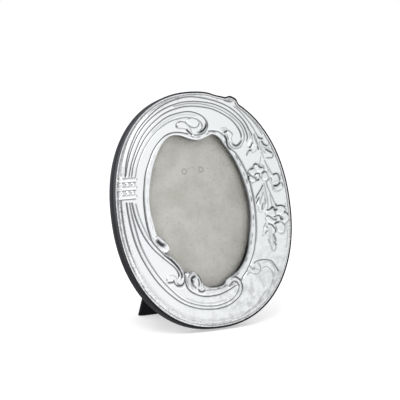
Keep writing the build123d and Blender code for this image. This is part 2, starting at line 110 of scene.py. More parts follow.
def linear(code):
    """Turns an sRGB hex value into linear red, green, blue and alpha."""
    parts = [int(code[k:k + 2], 16) / 255 for k in (1, 3, 5)]
    return [p / 12.92 if p <= 0.04045 else ((p + 0.055) / 1.055) ** 2.4 for p in parts] + [1.0]


def sizes():
    return bpy.context.scene.oval_frame_sizes


def colours():
    return bpy.context.scene.oval_frame_colours


# The pressed pattern, read off the front: u to the right and v up from the oval's middle, in mm
WINDOW = (
    ((-44.2, -16.5), (-45.6, -8), (-46.8, 0), (-46.9, 8), (-45.9, 16), (-43.8, 25), (-40.6, 34.5),
     (-36.3, 43), (-31.5, 50.2), (-26.5, 55), (-20.5, 57), (-14.5, 56.4), (-8.5, 54)),
    ((-8.5, 54), (-5, 52.8), (-1.5, 52.3), (3, 53), (7.5, 54.4), (12, 55.9), (15.5, 54.9), (18.5, 52.2),
     (21, 48)),
    ((21, 48), (24.3, 43), (27.8, 37.5), (30.8, 30.5), (33.3, 22.5), (35.5, 13), (36.6, 3), (36.5, -6),
     (35.3, -15), (32.8, -24.5), (29.5, -33.5), (25.2, -41.5), (19.5, -48), (14, -52)),
    ((14, -52), (11, -53.2), (8.6, -54.8)),
    ((8.6, -54.8), (6.5, -57), (2.5, -58.2), (-3, -58.5), (-8, -58), (-11.6, -56.5)),
    ((-11.6, -56.5), (-12.6, -53), (-13.5, -50), (-15.6, -47.3), (-19, -45.7), (-22.5, -45.6),
     (-25.8, -46.9)),
    ((-25.8, -46.9), (-26.9, -44), (-29.3, -39.7), (-32.8, -35.4), (-36.5, -32.2), (-39.3, -30.6)),
    ((-39.3, -30.6), (-36.5, -28.8), (-35, -26.3), (-35.9, -23.4), (-38.3, -20.9), (-41, -18.2),
     (-44.2, -16.5)),
)

# Each crease: depth in mm, width of its dark line in mm, darkness from 0 to 1, then its points
CREASES = {
    "rim_left": (1.0, .50, .75, ((-28.7, -50.8), (-28.4, -46), (-32.4, -39.1), (-38.4, -33.4),
        (-43.8, -27.2), (-48.8, -20.4), (-50.9, -12.3), (-51.8, -4.1), (-51.9, 4.1), (-51.3, 12.4),
        (-49.7, 20.8), (-47.4, 29.7), (-43.4, 38.4), (-38.2, 47.3), (-30.6, 54.9), (-26, 57.7),
        (-20.8, 59), (-15.4, 58.9), (-10, 57.7), (-7.5, 56.6))),
    "rim_right": (1.0, .50, .65, ((8, 58.3), (11, 58.6), (14.5, 58.4), (17.5, 57.6), (20.5, 55.6),
        (22.6, 53.2), (23.6, 50), (24.3, 46.5), (26.6, 43.6), (29.6, 41.1), (34.3, 32.5), (37.6, 23.5),
        (39.6, 14), (40.5, 4), (40.7, -4), (40.2, -12.1), (39.2, -20.6), (37.1, -29.5), (33.7, -38.7),
        (28.3, -47.6), (21, -55.8))),
    "reed_a": (.5, .42, .45, ((-67.6, 28), (-66.3, 34.5), (-61.5, 47.4), (-55, 59.6), (-45.7, 70.4),
        (-33.9, 79.5), (-27.2, 83))),
    "reed_b": (.8, .45, .75, ((-64.2, 28), (-61.5, 39.6), (-56.3, 51.3), (-48.9, 62.7), (-38.7, 72.2),
        (-26.5, 80.1), (-12.4, 84.6), (-5, 85.5), (2.4, 85), (16.9, 81.7), (30.2, 75.6), (40.7, 65.3),
        (44, 58.5), (46, 53), (44.3, 47.3))),
    "reed_c": (.8, .45, .8, ((-64, 27.5), (-60.4, 38.8), (-55.1, 50.1), (-47.7, 61), (-37.8, 70.3),
        (-25.7, 77.4), (-12.1, 81.3), (-5, 81.9), (2.1, 81.7), (16.2, 79.1), (28.9, 72.8), (39, 62.8),
        (41.6, 56.5), (42.2, 52), (41, 48))),
    "reed_d": (.8, .45, .8, ((-61.2, 27.5), (-58, 37.1), (-52.7, 47.7), (-45.8, 58.2), (-36.4, 67.2),
        (-24.9, 74.3), (-11.8, 77.8), (-5, 78.3), (1.8, 77.9), (15.1, 75.1), (27, 68.6), (32, 64.1),
        (35.3, 59), (36.8, 54.5), (36.7, 51))),
    "reed_e": (.7, .45, .75, ((-59.2, 27.3), (-56.5, 36.1), (-51.2, 46.2), (-44.2, 56), (-35, 64.4),
        (-24, 71.1), (-11.5, 74), (-5, 74.2), (1.3, 72.5), (5.5, 70), (8.2, 66.5), (8.9, 63), (8, 59.8),
        (5, 57.2), (0, 56), (-4, 56.4))),
    "reed_f": (.6, .42, .6, ((-56.2, 26.9), (-53.9, 34.2), (-49, 44), (-42.2, 53.1), (-33.5, 61.2),
        (-23, 67.2), (-11.1, 69.8), (-5, 69.5), (.9, 67.8), (3.6, 65.3), (4.4, 62.3), (3.3, 60.3),
        (1, 59))),
    "scroll_two": (.6, .42, .55, ((-18.5, 78.6), (-5, 80.3), (8.9, 78.9), (22.1, 74.3), (33.3, 66.3),
        (37.7, 60.9), (39.5, 56), (39.4, 51.5), (38, 48), (35.5, 45.2), (32, 43.9), (28.6, 44.3),
        (26, 46.5), (24.9, 50))),
    "fan_outer": (.35, .45, .30, ((-70.3, 11.5), (-72.4, 6), (-72.5, 0), (-71.5, -11.8), (-69.6, -23.3),
        (-66.7, -35.6), (-62.7, -48.4), (-55.9, -60.7), (-46.7, -72.2), (-41, -77))),
    "fan_b": (.8, .45, .75, ((-65.8, 10.7), (-65.4, 0), (-64.4, -10.5), (-62.4, -20.9), (-59, -31.2),
        (-54.2, -41.3), (-48, -51.2), (-39.9, -60.4), (-29.9, -68.4), (-17.9, -73.4), (-5, -75.3),
        (1.6, -75), (8, -73.7), (14, -70.8), (19.2, -66.5), (20.9, -62), (20.8, -58.3), (19.3, -55.3),
        (16.5, -53.7), (13, -53.4))),
    "fan_c": (.7, .42, .65, ((-63.2, 10.5), (-62.6, 0), (-61.1, -9.9), (-59.3, -19.8), (-56.1, -29.5),
        (-51.5, -39), (-45.6, -48.4), (-38, -57.8), (-29.1, -65.9), (-17.5, -71), (-5, -73),
        (1.3, -72.6), (7.5, -71.1), (13.3, -68.2), (17.2, -63.8), (18.3, -60), (16.9, -57.6),
        (14.3, -57))),
    "fan_d": (.8, .45, .75, ((-61.6, 10.3), (-60.3, 0), (-57.8, -9.3), (-54.1, -17.9), (-49.1, -25.5),
        (-43.1, -32), (-36.8, -37.9), (-33.7, -41), (-31.3, -44.6), (-30.8, -47.6), (-31.6, -49.6))),
    "fan_e": (.5, .42, .5, ((-58.6, 9.4), (-57.3, 0), (-54.8, -8.8), (-51.5, -16.9), (-49.6, -20.4))),
    "base": (.8, .5, .8, ((-26, -48.5), (-26.2, -52), (-25.4, -56.1), (-23.8, -58.9), (-21.4, -61.1),
        (-16.3, -63.8), (-10.7, -65.2), (-5, -65.4), (.7, -65), (6.2, -63.6), (11.5, -61.7),
        (16.3, -59.2))),
    "sill": (.5, .4, .55, ((-10.5, -60.6), (-5, -60.9), (.3, -61), (5.5, -60), (8.8, -58.4))),
    "border_right": (.5, .42, .6, ((33.2, 77), (37.4, 73.4), (42.3, 67.5), (46.6, 61.5), (49.9, 54.9),
        (52.2, 51.3), (54.3, 50.2))),
    "border_outer": (.45, .42, .55, ((36.4, 76.8), (38.9, 74.6), (44.2, 69.4), (49, 63.8), (53, 58),
        (55.8, 52.6))),
    "border_base": (.35, .6, .35, ((-32.9, -76.8), (-26.6, -80.7), (-19.6, -82.7), (-12.4, -85),
        (-5, -86), (2.5, -86.2), (9.9, -84.7), (17.3, -83.1), (23.9, -79.5), (30.8, -76.7),
        (36.1, -71.1), (41, -66))),
    "border_side": (.3, .5, .3, ((64, -36), (66.3, -26), (67.3, -6.3), (68.3, 0))),
    "reed_faint": (.2, .5, .22, ((-39.1, 59.1), (-29.1, 66.2), (-17.5, 71.1), (-11.3, 72), (-5, 71.8),
        (1.2, 70.6))),
    "bowl": (.25, .6, .22, ((-28.3, -63.9), (-22.9, -66.8), (-17.2, -69), (-5, -70.6), (1.1, -69.9),
        (7.2, -68.9))),
    "arch": (.7, .6, .6, ((33, -45), (36, -43.5), (40, -42.8), (44, -43), (49, -44.5), (51, -47),
        (53, -50.5), (54.7, -53.7))),
    "arch_hook": (.4, .5, .35, ((38.5, -50), (36, -49.6), (34.8, -48.2))),
    "arch_curl": (.4, .5, .4, ((29, -46.5), (31, -48), (33, -48.5), (34.5, -47.6))),
}

# Broad dark hollows, by the same four values; their darkness is patina with painted shade in the hollow
HOLLOWS = {
    "comma_one": (.5, 1.05, .95, ((8, 66.4), (7.7, 63.2), (6.2, 60.6), (3.8, 58.8), (1, 57.9),
        (-1.6, 57.9))),
    "comma_two": (.5, 1.1, .85, ((27.6, 49.6), (28.8, 47.2), (31, 46.0), (33.5, 46.7), (36, 49.0),
        (37, 51.5))),
    "bump": (.4, .8, .75, ((25, 82), (28, 80.9), (31, 80.2), (34, 80.6))),
    "hollow_one": (1.1, 1.85, .92, ((-46.2, -18.4), (-44, -21.2), (-41.6, -23.4), (-39.4, -24.3),
        (-37.6, -24.8))),
    "hollow_two": (.7, .9, .55, ((-18.4, -49.8), (-20.6, -52), (-21, -55), (-19.4, -57.8))),
    "tail_three": (.4, .5, .7, ((-33.4, -51.8), (-32, -53.6), (-29.6, -54.4), (-27.4, -53.4))),
    "curl_four": (.4, .6, .5, ((10.4, -59.8), (12.6, -59), (15, -57.6))),
}

# Stems: narrow raised lines
STEMS = (
    ((49, 40), (50.6, 36), (50.5, 33), (49.4, 29)),
    ((50.8, 40), (54, 33), (57, 28), (59.4, 23.4)),
    ((50.6, 15), (51, 8), (51.8, 2), (51, -3)),
    ((54, 10), (54.6, 4), (54.6, -2)),
    ((54.2, 12), (56, 6), (57.4, 1), (58.2, -2)),
    ((47.5, 59), (50, 52), (50.8, 46), (50.5, 40)),
)

# Dark marks at the foot of petals, leaves and curls, patina with painted shade where the forms meet the
# ground:
# width of the dark line in mm, darkness from 0 to 1, then points
MARKS = (
    # upper flower
    (.8, .9, ((44.6, 30.2), (46, 31), (47.4, 30.4))),
    (.55, .6, ((43, 28.4), (44.6, 30.2))),
    (.8, .9, ((48.4, 29.4), (49.4, 28.1), (51, 27.7))),
    (.55, .55, ((51, 27.7), (52.6, 27.8), (53, 26), (52.2, 24.8))),
    (.8, .9, ((40.8, 27), (42, 27.4), (43.2, 27.6))),
    (.6, .7, ((38.2, 24.8), (39.2, 26), (40.8, 27))),
    (.6, .8, ((38.2, 24.3), (39.8, 23.2), (41, 21.8), (42.8, 20.5), (44.2, 19.6), (45, 18.4))),
    (.7, .85, ((44.8, 18.4), (46, 18.2), (47.2, 18.8))),
    (.8, .95, ((39.2, 21.9), (38.3, 21), (38.2, 19.6))),
    (.6, .8, ((38.2, 19.6), (38.6, 18), (40, 17.1))),
    (.65, .85, ((44.6, 22.6), (45.8, 23.2), (47.2, 23.3), (48.3, 22.7))),
    (.55, .6, ((48.3, 22.7), (48.4, 21), (49.4, 19.4))),
    (.7, .85, ((50.8, 23), (52, 24), (53.2, 24.3), (54.6, 23.8))),
    (.5, .45, ((40.6, 15.6), (41.8, 16.6), (43.8, 17.3), (45, 18))),
    (.5, .4, ((50.1, 22), (49.8, 19.8), (50.8, 17.6))),
    # bud
    (.75, .85, ((60.4, 21.5), (61.6, 22), (63.4, 22.2), (64.8, 21.6))),
    (.7, .75, ((65, 20.6), (65.7, 18.8), (65.4, 16.8))),
    (1.0, .97, ((59.8, 12.8), (61.2, 12.7), (62.8, 13))),
    (.8, .85, ((62.8, 13), (64.2, 13.9), (65.4, 14.8))),
    (.5, .55, ((66.8, 15), (67.6, 13.6), (67.4, 11.8))),
    (.5, .3, ((57, 19.5), (56.6, 17.4), (57.5, 15.2), (59, 13.4))),
    (.6, .45, ((58.5, 11.5), (60, 10), (61.6, 9), (63.6, 8.9), (65.4, 9.8))),
    (.5, .35, ((66, 20.6), (68, 20.4), (69, 18.6), (68.3, 16.4))),
    (.6, .65, ((53.4, 16.6), (55, 17.6), (56.6, 18.8))),
    # lower flower
    (.6, .9, ((51, -5.2), (53, -5.1), (55, -4.1))),
    (.95, .97, ((55, -4.1), (56, -3.3), (56.8, -4))),
    (.6, .7, ((56.8, -4), (57.5, -5.3))),
    (.95, .97, ((57.5, -5.4), (58.4, -6.1), (59.2, -5.6))),
    (.7, .9, ((59.2, -1.4), (60.4, -2.9), (61.6, -2.7), (63.6, -2.7), (65.4, -3.1), (67, -4))),
    (.7, .85, ((65.8, -8.4), (66.4, -7.6), (67.4, -8.7), (68.8, -10.1))),
    (.6, .8, ((57.3, -11.2), (59, -10.6), (61, -10.4), (62, -11.4))),
    (.9, .9, ((62, -12.2), (62.4, -13.2), (63.4, -13.3))),
    (.65, .75, ((50.4, -9.6), (52, -10.2), (53.6, -11.7), (55.4, -13.1), (58, -13.5))),
    (.6, .5, ((48.8, -11.4), (50.4, -9.7))),
    (.8, .9, ((56.4, -16.3), (58, -15.6), (59.8, -15.4))),
    (.55, .55, ((60, -14.6), (62, -15.6), (63.6, -17), (64.7, -18.2))),
    (.6, .55, ((64.7, -18), (66.2, -16.5), (68.6, -15))),
    (.6, .5, ((60, -24.2), (61.6, -24.3), (63.4, -23.2), (64.6, -20.6))),
    # stems
    (.5, .5, ((51.3, 15.5), (51.9, 11), (52.2, 7), (52.7, 3), (52.4, -1), (51.6, -4.4))),
    (.45, .5, ((55, 6), (55.5, 1), (55.9, -2.6))),
    (.5, .65, ((53.3, 16.8), (54.2, 12), (55.4, 8), (56.9, 4), (58, .5), (59.3, -1.6))),
    (.45, .4, ((51.2, 36), (50.4, 33), (49.4, 30))),
    (.5, .6, ((54.3, 33), (56, 28.4), (58, 24.5), (60.2, 21.8))),
    (.4, .35, ((55.8, 25.5), (57, 22.8))),
    # middle leaf
    (.65, .8, ((49.8, 13.8), (48, 11.2), (45.8, 8.8), (43.9, 6.6), (42.8, 4.8))),
    (.65, .8, ((45.2, 4.7), (43.7, 2.6), (42.6, .5))),
    (.5, .55, ((49.5, 8.4), (47.5, 5), (46, 2), (45.2, 0))),
    (.6, .7, ((48, 0), (47.3, -1.6), (47.2, -4.4))),
    (.6, .55, ((50.2, 3.2), (50.6, 1.2), (49.6, -.8))),
    (.5, .3, ((43, -4.6), (44.6, -6.6), (46.6, -6.4))),
    (.5, .3, ((51, 5), (49.4, 2), (48.8, -3))),
    # lowest leaf
    (.55, .5, ((48.3, -15.2), (46.8, -17.2), (45.8, -19.2))),
    (.7, .8, ((51, -16), (53.4, -17.1), (55, -18.8), (56.3, -20.8), (56, -22.8))),
    (.5, .45, ((56, -22.8), (54.4, -23.8))),
    (.6, .75, ((53.8, -24.2), (54.7, -26.2), (55.2, -29.6))),
    (.6, .7, ((46.7, -23), (47.8, -21.8), (48.8, -21.4))),
    (.5, .4, ((44, -24.4), (45.6, -24))),
    (.6, .6, ((48.6, -18), (49.3, -19))),
    (.7, .75, ((53.4, -30.4), (54.3, -31.2), (54.8, -32.6))),
    (.5, .5, ((54.8, -32.6), (54.2, -35.4), (52.6, -37.4))),
    (.5, .45, ((48.6, -27.6), (49.2, -30.6))),
    (.5, .4, ((49.8, -33), (51.2, -36.5))),
    (.45, .35, ((52, -19), (52.2, -24), (52.6, -28), (52, -33))),
    (.5, .35, ((50.6, -20), (50.2, -24), (50.8, -27.5))),
    # right leaf
    (.75, .9, ((54.2, 47.8), (55.2, 46.3), (56.6, 45), (58.2, 44.4))),
    (.5, .45, ((58.2, 44.4), (60, 44.8), (60.7, 46.4))),
    (.75, .9, ((56.7, 41.5), (57.8, 41.1), (58.8, 40.2), (60.4, 39.6), (61.6, 38.6))),
    (.5, .5, ((54.4, 43.3), (56.8, 42.6))),
    (.5, .5, ((54.2, 40.8), (55.8, 38.8))),
    (.65, .65, ((56.8, 35), (58.8, 34.9), (60.8, 34.8), (62.3, 35.6), (62.8, 37.4))),
    (.8, .9, ((51.8, 51.4), (53.2, 50.4), (54.8, 50.2))),
    (.5, .45, ((59.2, 42.6), (60.2, 41.4))),
    # left leaf
    (.7, .9, ((42.4, 44), (43.6, 44.2), (44.8, 45.6), (45.8, 47.2))),
    (.75, .85, ((41.9, 41.5), (43.8, 41.6))),
    (.55, .6, ((39.6, 38), (40.4, 40), (41.9, 41.5))),
    (.55, .6, ((48, 54), (48.4, 51), (49.4, 47.6), (50, 45.2))),
    (.65, .8, ((49.9, 44), (50.2, 42))),
    (.5, .35, ((48.6, 42), (47, 40.4), (44, 39.6))),
    (.45, .35, ((52.4, 48), (51.8, 44), (52.8, 41))),
    # upper scrolls
    (.5, .7, ((-17.4, 63), (-17.2, 65), (-15.6, 66.6), (-13, 67), (-10.2, 66.2), (-8, 64.2),
     (-5.4, 62.4), (-2.4, 61.8), (.4, 62.6), (1.8, 64.6))),
    (.65, .9, ((-9.4, 60.6), (-7.6, 58.6), (-5.6, 56.6))),
    (.45, .5, ((-17.4, 63), (-14.6, 61.8), (-12, 61.8), (-9.6, 60.6))),
    (.9, .9, ((22.8, 56.9), (23.8, 57.5), (24.8, 57.5))),
    (.55, .6, ((24.8, 57.6), (26.6, 57.8), (28, 56.8), (28.9, 55.4))),
    (.5, .4, ((20.3, 59.8), (21.4, 60.3), (22.4, 59.6), (22.2, 57.8))),
    (.7, .85, ((22.4, 54.4), (23.6, 52), (23.7, 50), (23.2, 48.4))),
    (.7, .85, ((23.2, 48.4), (23.6, 46.4), (24.8, 44.4), (26.6, 43.3))),
    # ribbon, tail and lower curls
    (.5, .8, ((-40.4, -31.6), (-38, -33), (-35.8, -34.9))),
    (.95, .9, ((-35.8, -34.9), (-33.2, -37.8), (-31.2, -40.5), (-29.7, -43))),
    (.7, .8, ((-29.7, -43), (-28.7, -45.2), (-28.6, -46.6))),
    (.5, .4, ((-28.8, -47.4), (-29, -49.6), (-29.8, -51))),
    (.7, .85, ((-40, -51.8), (-38, -51.9), (-36.2, -51.8), (-35.6, -50.9))),
    (.6, .7, ((-35.6, -51.4), (-35, -53), (-33.4, -54.6))),
    (.8, .9, ((-33.4, -54.6), (-31.4, -55.1), (-29.2, -54.9), (-27.6, -53.5))),
    (.65, .75, ((-27.6, -53.5), (-26.4, -50.8), (-25.9, -48.4), (-26.3, -46.6))),
    (.6, .75, ((-22.6, -46.6), (-20.5, -45.7), (-18, -45.6), (-15.9, -47), (-14.2, -49.2), (-13.3, -52),
     (-12.7, -54.3))),
    (.6, .65, ((-23.4, -49.4), (-21.8, -47.6), (-20, -46.8))),
    (.5, .35, ((-23.8, -50), (-23.7, -53), (-22.6, -56), (-21.4, -58.4))),
    (1.3, .95, ((-18.4, -49.6), (-20.2, -50.2), (-21, -51.6), (-20.6, -53))),
    (.65, .75, ((-20.8, -53.6), (-20.2, -56), (-18.6, -58))),
    (.65, .75, ((-15.7, -51.6), (-15.3, -54), (-15.7, -56.8))),
    (.7, .85, ((-16.4, -59.6), (-14.8, -61.1), (-12.6, -61.3), (-11, -60.6))),
    (.6, .7, ((-36.2, -22.8), (-34.8, -25.6), (-35.4, -28), (-37.4, -29.4))),
    (.8, .85, ((-39.6, -30.1), (-38, -30.8), (-36.4, -32))),
    (.7, .75, ((10.2, -59.4), (11.6, -58.4), (12.8, -57.4))),
    (.6, .7, ((12.4, -57), (14, -56.5), (15.8, -56.7), (17.4, -57.8), (18, -59.6))),
    (.6, .75, ((15.4, -52.6), (17.6, -53.8), (19.4, -55.4), (20.8, -56.2))),
    (.6, .7, ((20.8, -56.2), (23, -53.6), (25.6, -50.9))),
    # arch at the lower right
    (.5, .45, ((40.5, -49), (43, -48.1), (46, -49.4), (48, -51.8), (48.8, -55), (48.2, -58.6),
     (46.6, -61.8), (44.6, -65))),
    (.5, .3, ((41.6, -45.1), (45, -44.7), (48, -45.8), (50, -48), (50.6, -51), (50.6, -54),
     (49.6, -57.4))),
    (.6, .5, ((37.4, -45), (38.6, -47.4), (38.7, -50.2), (37.2, -52))),
    (.5, .55, ((27.6, -48), (29, -46.9), (30.2, -46.8))),
    (.5, .45, ((31, -47.8), (31.8, -49.4), (33.6, -49), (33.2, -47.4))),
    (.5, .4, ((26.8, -52.6), (29, -51), (31, -52), (34, -53), (37, -52.4))),
    (.6, .45, ((53.6, -57.8), (52.6, -60.4))),
    (.7, .35, ((20, -82), (23, -80.2), (27, -78.4), (30, -76.4))),
)

# Petals: middle u, middle v, half length, half width in mm and turn in degrees
PETALS = (
    (43, 25.6, 4.6, 3.4, 35), (48.8, 27.4, 4.2, 3.3, -10), (52.3, 21, 3.5, 3.6, 0),
    (41.6, 19.8, 3.4, 2.4, -15), (46.6, 19, 2.6, 1.8, 20), (54, -8, 4.4, 3.3, 10),
    (62.6, -6.6, 4.8, 3.9, -5), (66.2, -12.6, 3.3, 4.2, -20), (61.2, -20, 4, 4.4, 10),
    (53.6, -13.2, 4.6, 2.8, -15),
)
BUD = ((62, 18, 4.2, 4.3, 0), (67, 18.2, 2, 3.2, 0), (63, 12.4, 4.9, 3.9, 10))
FLOWER_MIDDLES = ((46.5, 21.8, 2), (59.8, -12.4, 2.3))

# Raised closed forms: height in mm, then the outline
LOBES = {
    "comma_tail": (.5, ((-17.6, 64.1), (-16.6, 66), (-13.5, 67), (-10, 66.6), (-7.8, 64.6), (-6.3, 61.8),
        (-5.4, 58.8), (-5.6, 56.2), (-7.4, 57.3), (-9.2, 59.9), (-11.6, 61.6), (-14.8, 61.4),
        (-17, 62.2))),
    "comma_head": (.6, ((-9.2, 66.4), (-5, 63.7), (-2.6, 62), (-.5, 61.8), (1.6, 63.2), (2.2, 65.4),
        (.2, 67.6), (-5, 69.3))),
    "scroll_ball": (.5, ((20.6, 59.6), (22.3, 60.4), (24.6, 60), (25.3, 58.7), (23.4, 57),
        (21.6, 57.6))),
    "scroll_tail": (.5, ((25.6, 58.4), (28, 57.2), (29.4, 55.2), (28.2, 52), (27.4, 49.4), (25.4, 50.5),
        (24.3, 54.5))),
    "loop_leaf": (.5, ((-17.6, -49.8), (-16, -50.6), (-15.4, -53), (-15.8, -56), (-16.8, -57.6),
        (-18.3, -55.6), (-19.2, -53), (-18.8, -51))),
    "loop_end": (.5, ((-15.2, -57), (-13, -57.2), (-11.2, -58.6), (-11.6, -60.4), (-13.8, -61),
        (-15.8, -60.2))),
    "tail": (.5, ((-41.3, -49.6), (-40, -47.4), (-37, -46.4), (-34.5, -47.2), (-33, -49.3),
        (-34.8, -51.8), (-37.4, -51.2), (-40.4, -51.6))),
    "leaf_low": (.45, ((49.7, 15.3), (48.6, 9), (42.3, 4.5), (44.6, 2.7), (42.7, -.9), (45.3, -6.8),
        (47.5, -.5), (50.1, 3.2))),
    "leaf_last": (.45, ((50.5, -16.2), (46, -19.4), (44.6, -24.8), (48.6, -23.9), (49.7, -30.6),
        (52.3, -36.9), (54.6, -30.6), (53.5, -24.3), (56.1, -21.2), (53.8, -17.1))),
    "leaf_right": (.45, ((54.6, 49.5), (55.3, 45), (59.4, 43.2), (58.7, 40.5), (62.7, 36.9),
        (58.7, 34.7), (54.2, 36), (53.1, 42.3))),
    "leaf_left": (.45, ((43.8, 57.6), (46.4, 50.6), (43.8, 44.1), (39.7, 37.8), (41.6, 45.9),
        (44.2, 50.4))),
    "loop_one": (.7, ((-47.5, -18.2), (-44.8, -23.8), (-41.5, -28), (-38.2, -29.7), (-35.6, -28.5),
        (-35.3, -25.4), (-38, -22.2), (-41.6, -18.8), (-44.6, -16.8))),
    "loop_two": (.7, ((-24.6, -49.4), (-25, -54), (-23.2, -59), (-19.4, -61.5), (-15.6, -60.6),
        (-13.2, -57.4), (-13.4, -53), (-15.5, -49), (-19.4, -46.9), (-23, -47.2))),
    "sill_curl": (.4, ((10, -59.6), (11.2, -57.5), (13.6, -56.8), (15.2, -57.2), (13.4, -58.8),
        (11.8, -60.2))),
}

# Binding on the left: bars across the reeds and beads between them, in mm
BARS = ((-68.8, -56.6, 25.9), (-69.8, -57.4, 20), (-70.4, -58.2, 13.6))
BEADS = ((-68.1, 22.8), (-63.4, 23), (-58.8, 22.7), (-68.7, 16.9), (-63.8, 16.7), (-59.8, 16.7))


# Places in the frame
OUTLINE_POWER = 2.163
# The leaf tip on the outline and the dip beside it: direction in degrees, height in mm and spread in degrees
TIP = (67.2, 2.9, 3.1)
DIP = (76.5, .9, 3.6)
TIP_FADE = 12.0
NORMAL_STEP = math.radians(1.5)
# The most distances that are worked out at once
BATCH = 4000000


def stand_up(places, level):
    """Turns frame-plane places (right, up the leaning face) and levels out of it, all in mm, into upright
    places in metres: y = v sin(lean) - w cos(lean) + back, and z = v cos(lean) + w sin(lean) + rise."""
    s = sizes()
    slope, upright = math.sin(s.lean_back), math.cos(s.lean_back)
    back = s.half_height * slope - s.band_depth * upright + s.base_flat_cut / math.tan(s.lean_back) / 2
    rise = s.half_height * upright + s.band_depth * slope - s.base_flat_cut
    flat, w = np.asarray(places, float) * MM, np.asarray(level, float) * MM
    u, v = flat[..., 0], flat[..., 1]
    turned_up = (u, v * slope - w * upright + back, v * upright + w * slope + rise)
    return np.stack(np.broadcast_arrays(*turned_up), axis=-1)


def bell(gap, width, power=2):
    """1 at no gap, falling along e to the power of -(gap / width) ^ power."""
    return np.exp(-(gap / width) ** power)


def oval(turn):
    """Superellipse: the radius in each direction makes |u/a|^n + |v/b|^n equal 1."""
    s = sizes()
    across = np.abs(np.cos(turn) / (s.half_width / MM)) ** OUTLINE_POWER
    upward = np.abs(np.sin(turn) / (s.half_height / MM)) ** OUTLINE_POWER
    radius = (across + upward) ** (-1 / OUTLINE_POWER)
    return np.stack((radius * np.cos(turn), radius * np.sin(turn)), axis=-1)


def outline(turn, inset):
    """The oval moved inwards by inset mm along its normal. The leaf tip is added as a flat-topped bell
    (fourth power in its exponent) and the dip beside it is taken away as a plain bell. Both fade as the
    inset grows."""
    along = oval(turn + NORMAL_STEP) - oval(turn - NORMAL_STEP)
    normal = np.stack((along[..., 1], -along[..., 0]), axis=-1) / np.linalg.norm(along, axis=-1)[..., None]
    degrees = np.degrees(turn) % 360
    bump_out = TIP[1] * bell(degrees - TIP[0], TIP[2], 4) - DIP[1] * bell(degrees - DIP[0], DIP[2])
    out = bump_out * np.clip(1 - inset / TIP_FADE, 0, 1) - inset
    return oval(turn) + normal * out[..., None]


def smooth(points, per=8, closed=False):
    """A centripetal Catmull-Rom curve through the points: each span blends straight lines between its four
    nearest points, spaced by the square root of their distances."""
    p = np.array(points, float)
    if closed:
        p = np.vstack((p[-1:], p, p[:2]))
    else:
        p = np.vstack((2 * p[0] - p[1], p, 2 * p[-1] - p[-2]))
    pieces = []
    for a, b, c, d in zip(p, p[1:], p[2:], p[3:]):
        t1 = math.sqrt(np.linalg.norm(b - a))
        t2 = t1 + math.sqrt(np.linalg.norm(c - b))
        t3 = t2 + math.sqrt(np.linalg.norm(d - c))
        t = np.linspace(t1, t2, per, endpoint=False)[:, None]
        ab = ((t1 - t) * a + t * b) / t1
        bc = ((t2 - t) * b + (t - t1) * c) / (t2 - t1)
        cd = ((t3 - t) * c + (t - t2) * d) / (t3 - t2)
        abc = ((t2 - t) * ab + t * bc) / t2
        bcd = ((t3 - t) * bc + (t - t1) * cd) / (t3 - t1)
        pieces.append(((t2 - t) * abc + (t - t1) * bcd) / (t2 - t1))
    line = np.vstack(pieces)
    return np.vstack((line, line[:1] if closed else p[-2:-1]))


def nearest(points, line, reach):
    """Distance from each point to a line, and how far along the line its nearest place is, from 0 to 1.
    Points further than reach from the line's box are left at reach."""
    far = np.full(len(points), float(reach))
    share = np.zeros(len(points))
    low, high = line.min(0) - reach, line.max(0) + reach
    close = np.flatnonzero(((points > low) & (points < high)).all(1))
    start, along = line[:-1], np.diff(line, axis=0)
    square = (along ** 2).sum(1)
    run = np.concatenate(([0], np.cumsum(np.sqrt(square))))
    for part in np.array_split(close, max(1, len(close) * len(start) // BATCH + 1)):
        off = points[part][:, None, :] - start[None]
        t = np.clip((off * along[None]).sum(2) / square, 0, 1)
        gap = ((off - t[..., None] * along[None]) ** 2).sum(2)
        best = gap.argmin(1)
        rows = np.arange(len(part))
        far[part] = np.minimum(np.sqrt(gap[rows, best]), reach)
        share[part] = (run[best] + t[rows, best] * np.sqrt(square[best])) / run[-1]
    return far, share


def inside(points, ring):
    """True where a point lies inside a closed ring, by counting the ring's crossings to its right."""
    hit = np.zeros(len(points), bool)
    close = np.flatnonzero(((points > ring.min(0)) & (points < ring.max(0))).all(1))
    u, v = points[close, 0][:, None], points[close, 1][:, None]
    a, b = ring[None, :-1], ring[None, 1:]
    crossing = (a[..., 1] > v) != (b[..., 1] > v)
    rise = np.where(b[..., 1] == a[..., 1], 1, b[..., 1] - a[..., 1])
    where = a[..., 0] + (v - a[..., 1]) / rise * (b[..., 0] - a[..., 0])
    hit[close] = (crossing & (u < where)).sum(1) % 2 == 1
    return hit


# Meshes
def ring_mesh(name, places):
    """Makes a mesh from a rows by columns grid of places that closes both ways."""
    rows, columns = places.shape[:2]
    index = np.arange(rows * columns).reshape(rows, columns)
    below, beside = np.roll(index, -1, axis=0), np.roll(index, -1, axis=1)
    across = np.roll(below, -1, axis=1)
    faces = np.stack((index, beside, across, below), axis=-1).reshape(-1, 4)
    mesh = bpy.data.meshes.new(name)
    mesh.vertices.add(rows * columns)
    mesh.vertices.foreach_set("co", places.reshape(-1).astype(np.float32))
    mesh.loops.add(faces.size)
    mesh.loops.foreach_set("vertex_index", faces.reshape(-1).astype(np.int32))
    mesh.polygons.add(len(faces))
    mesh.polygons.foreach_set("loop_start", np.arange(0, faces.size, 4, dtype=np.int32))
    mesh.polygons.foreach_set("use_smooth", np.ones(len(faces), bool))
    mesh.update(calc_edges=True)
    mesh.validate()
    return mesh


def add_attribute(mesh, name, values):
    layer = mesh.attributes.new(name, "FLOAT", "POINT")
    layer.data.foreach_set("value", np.asarray(values, np.float32).reshape(-1))


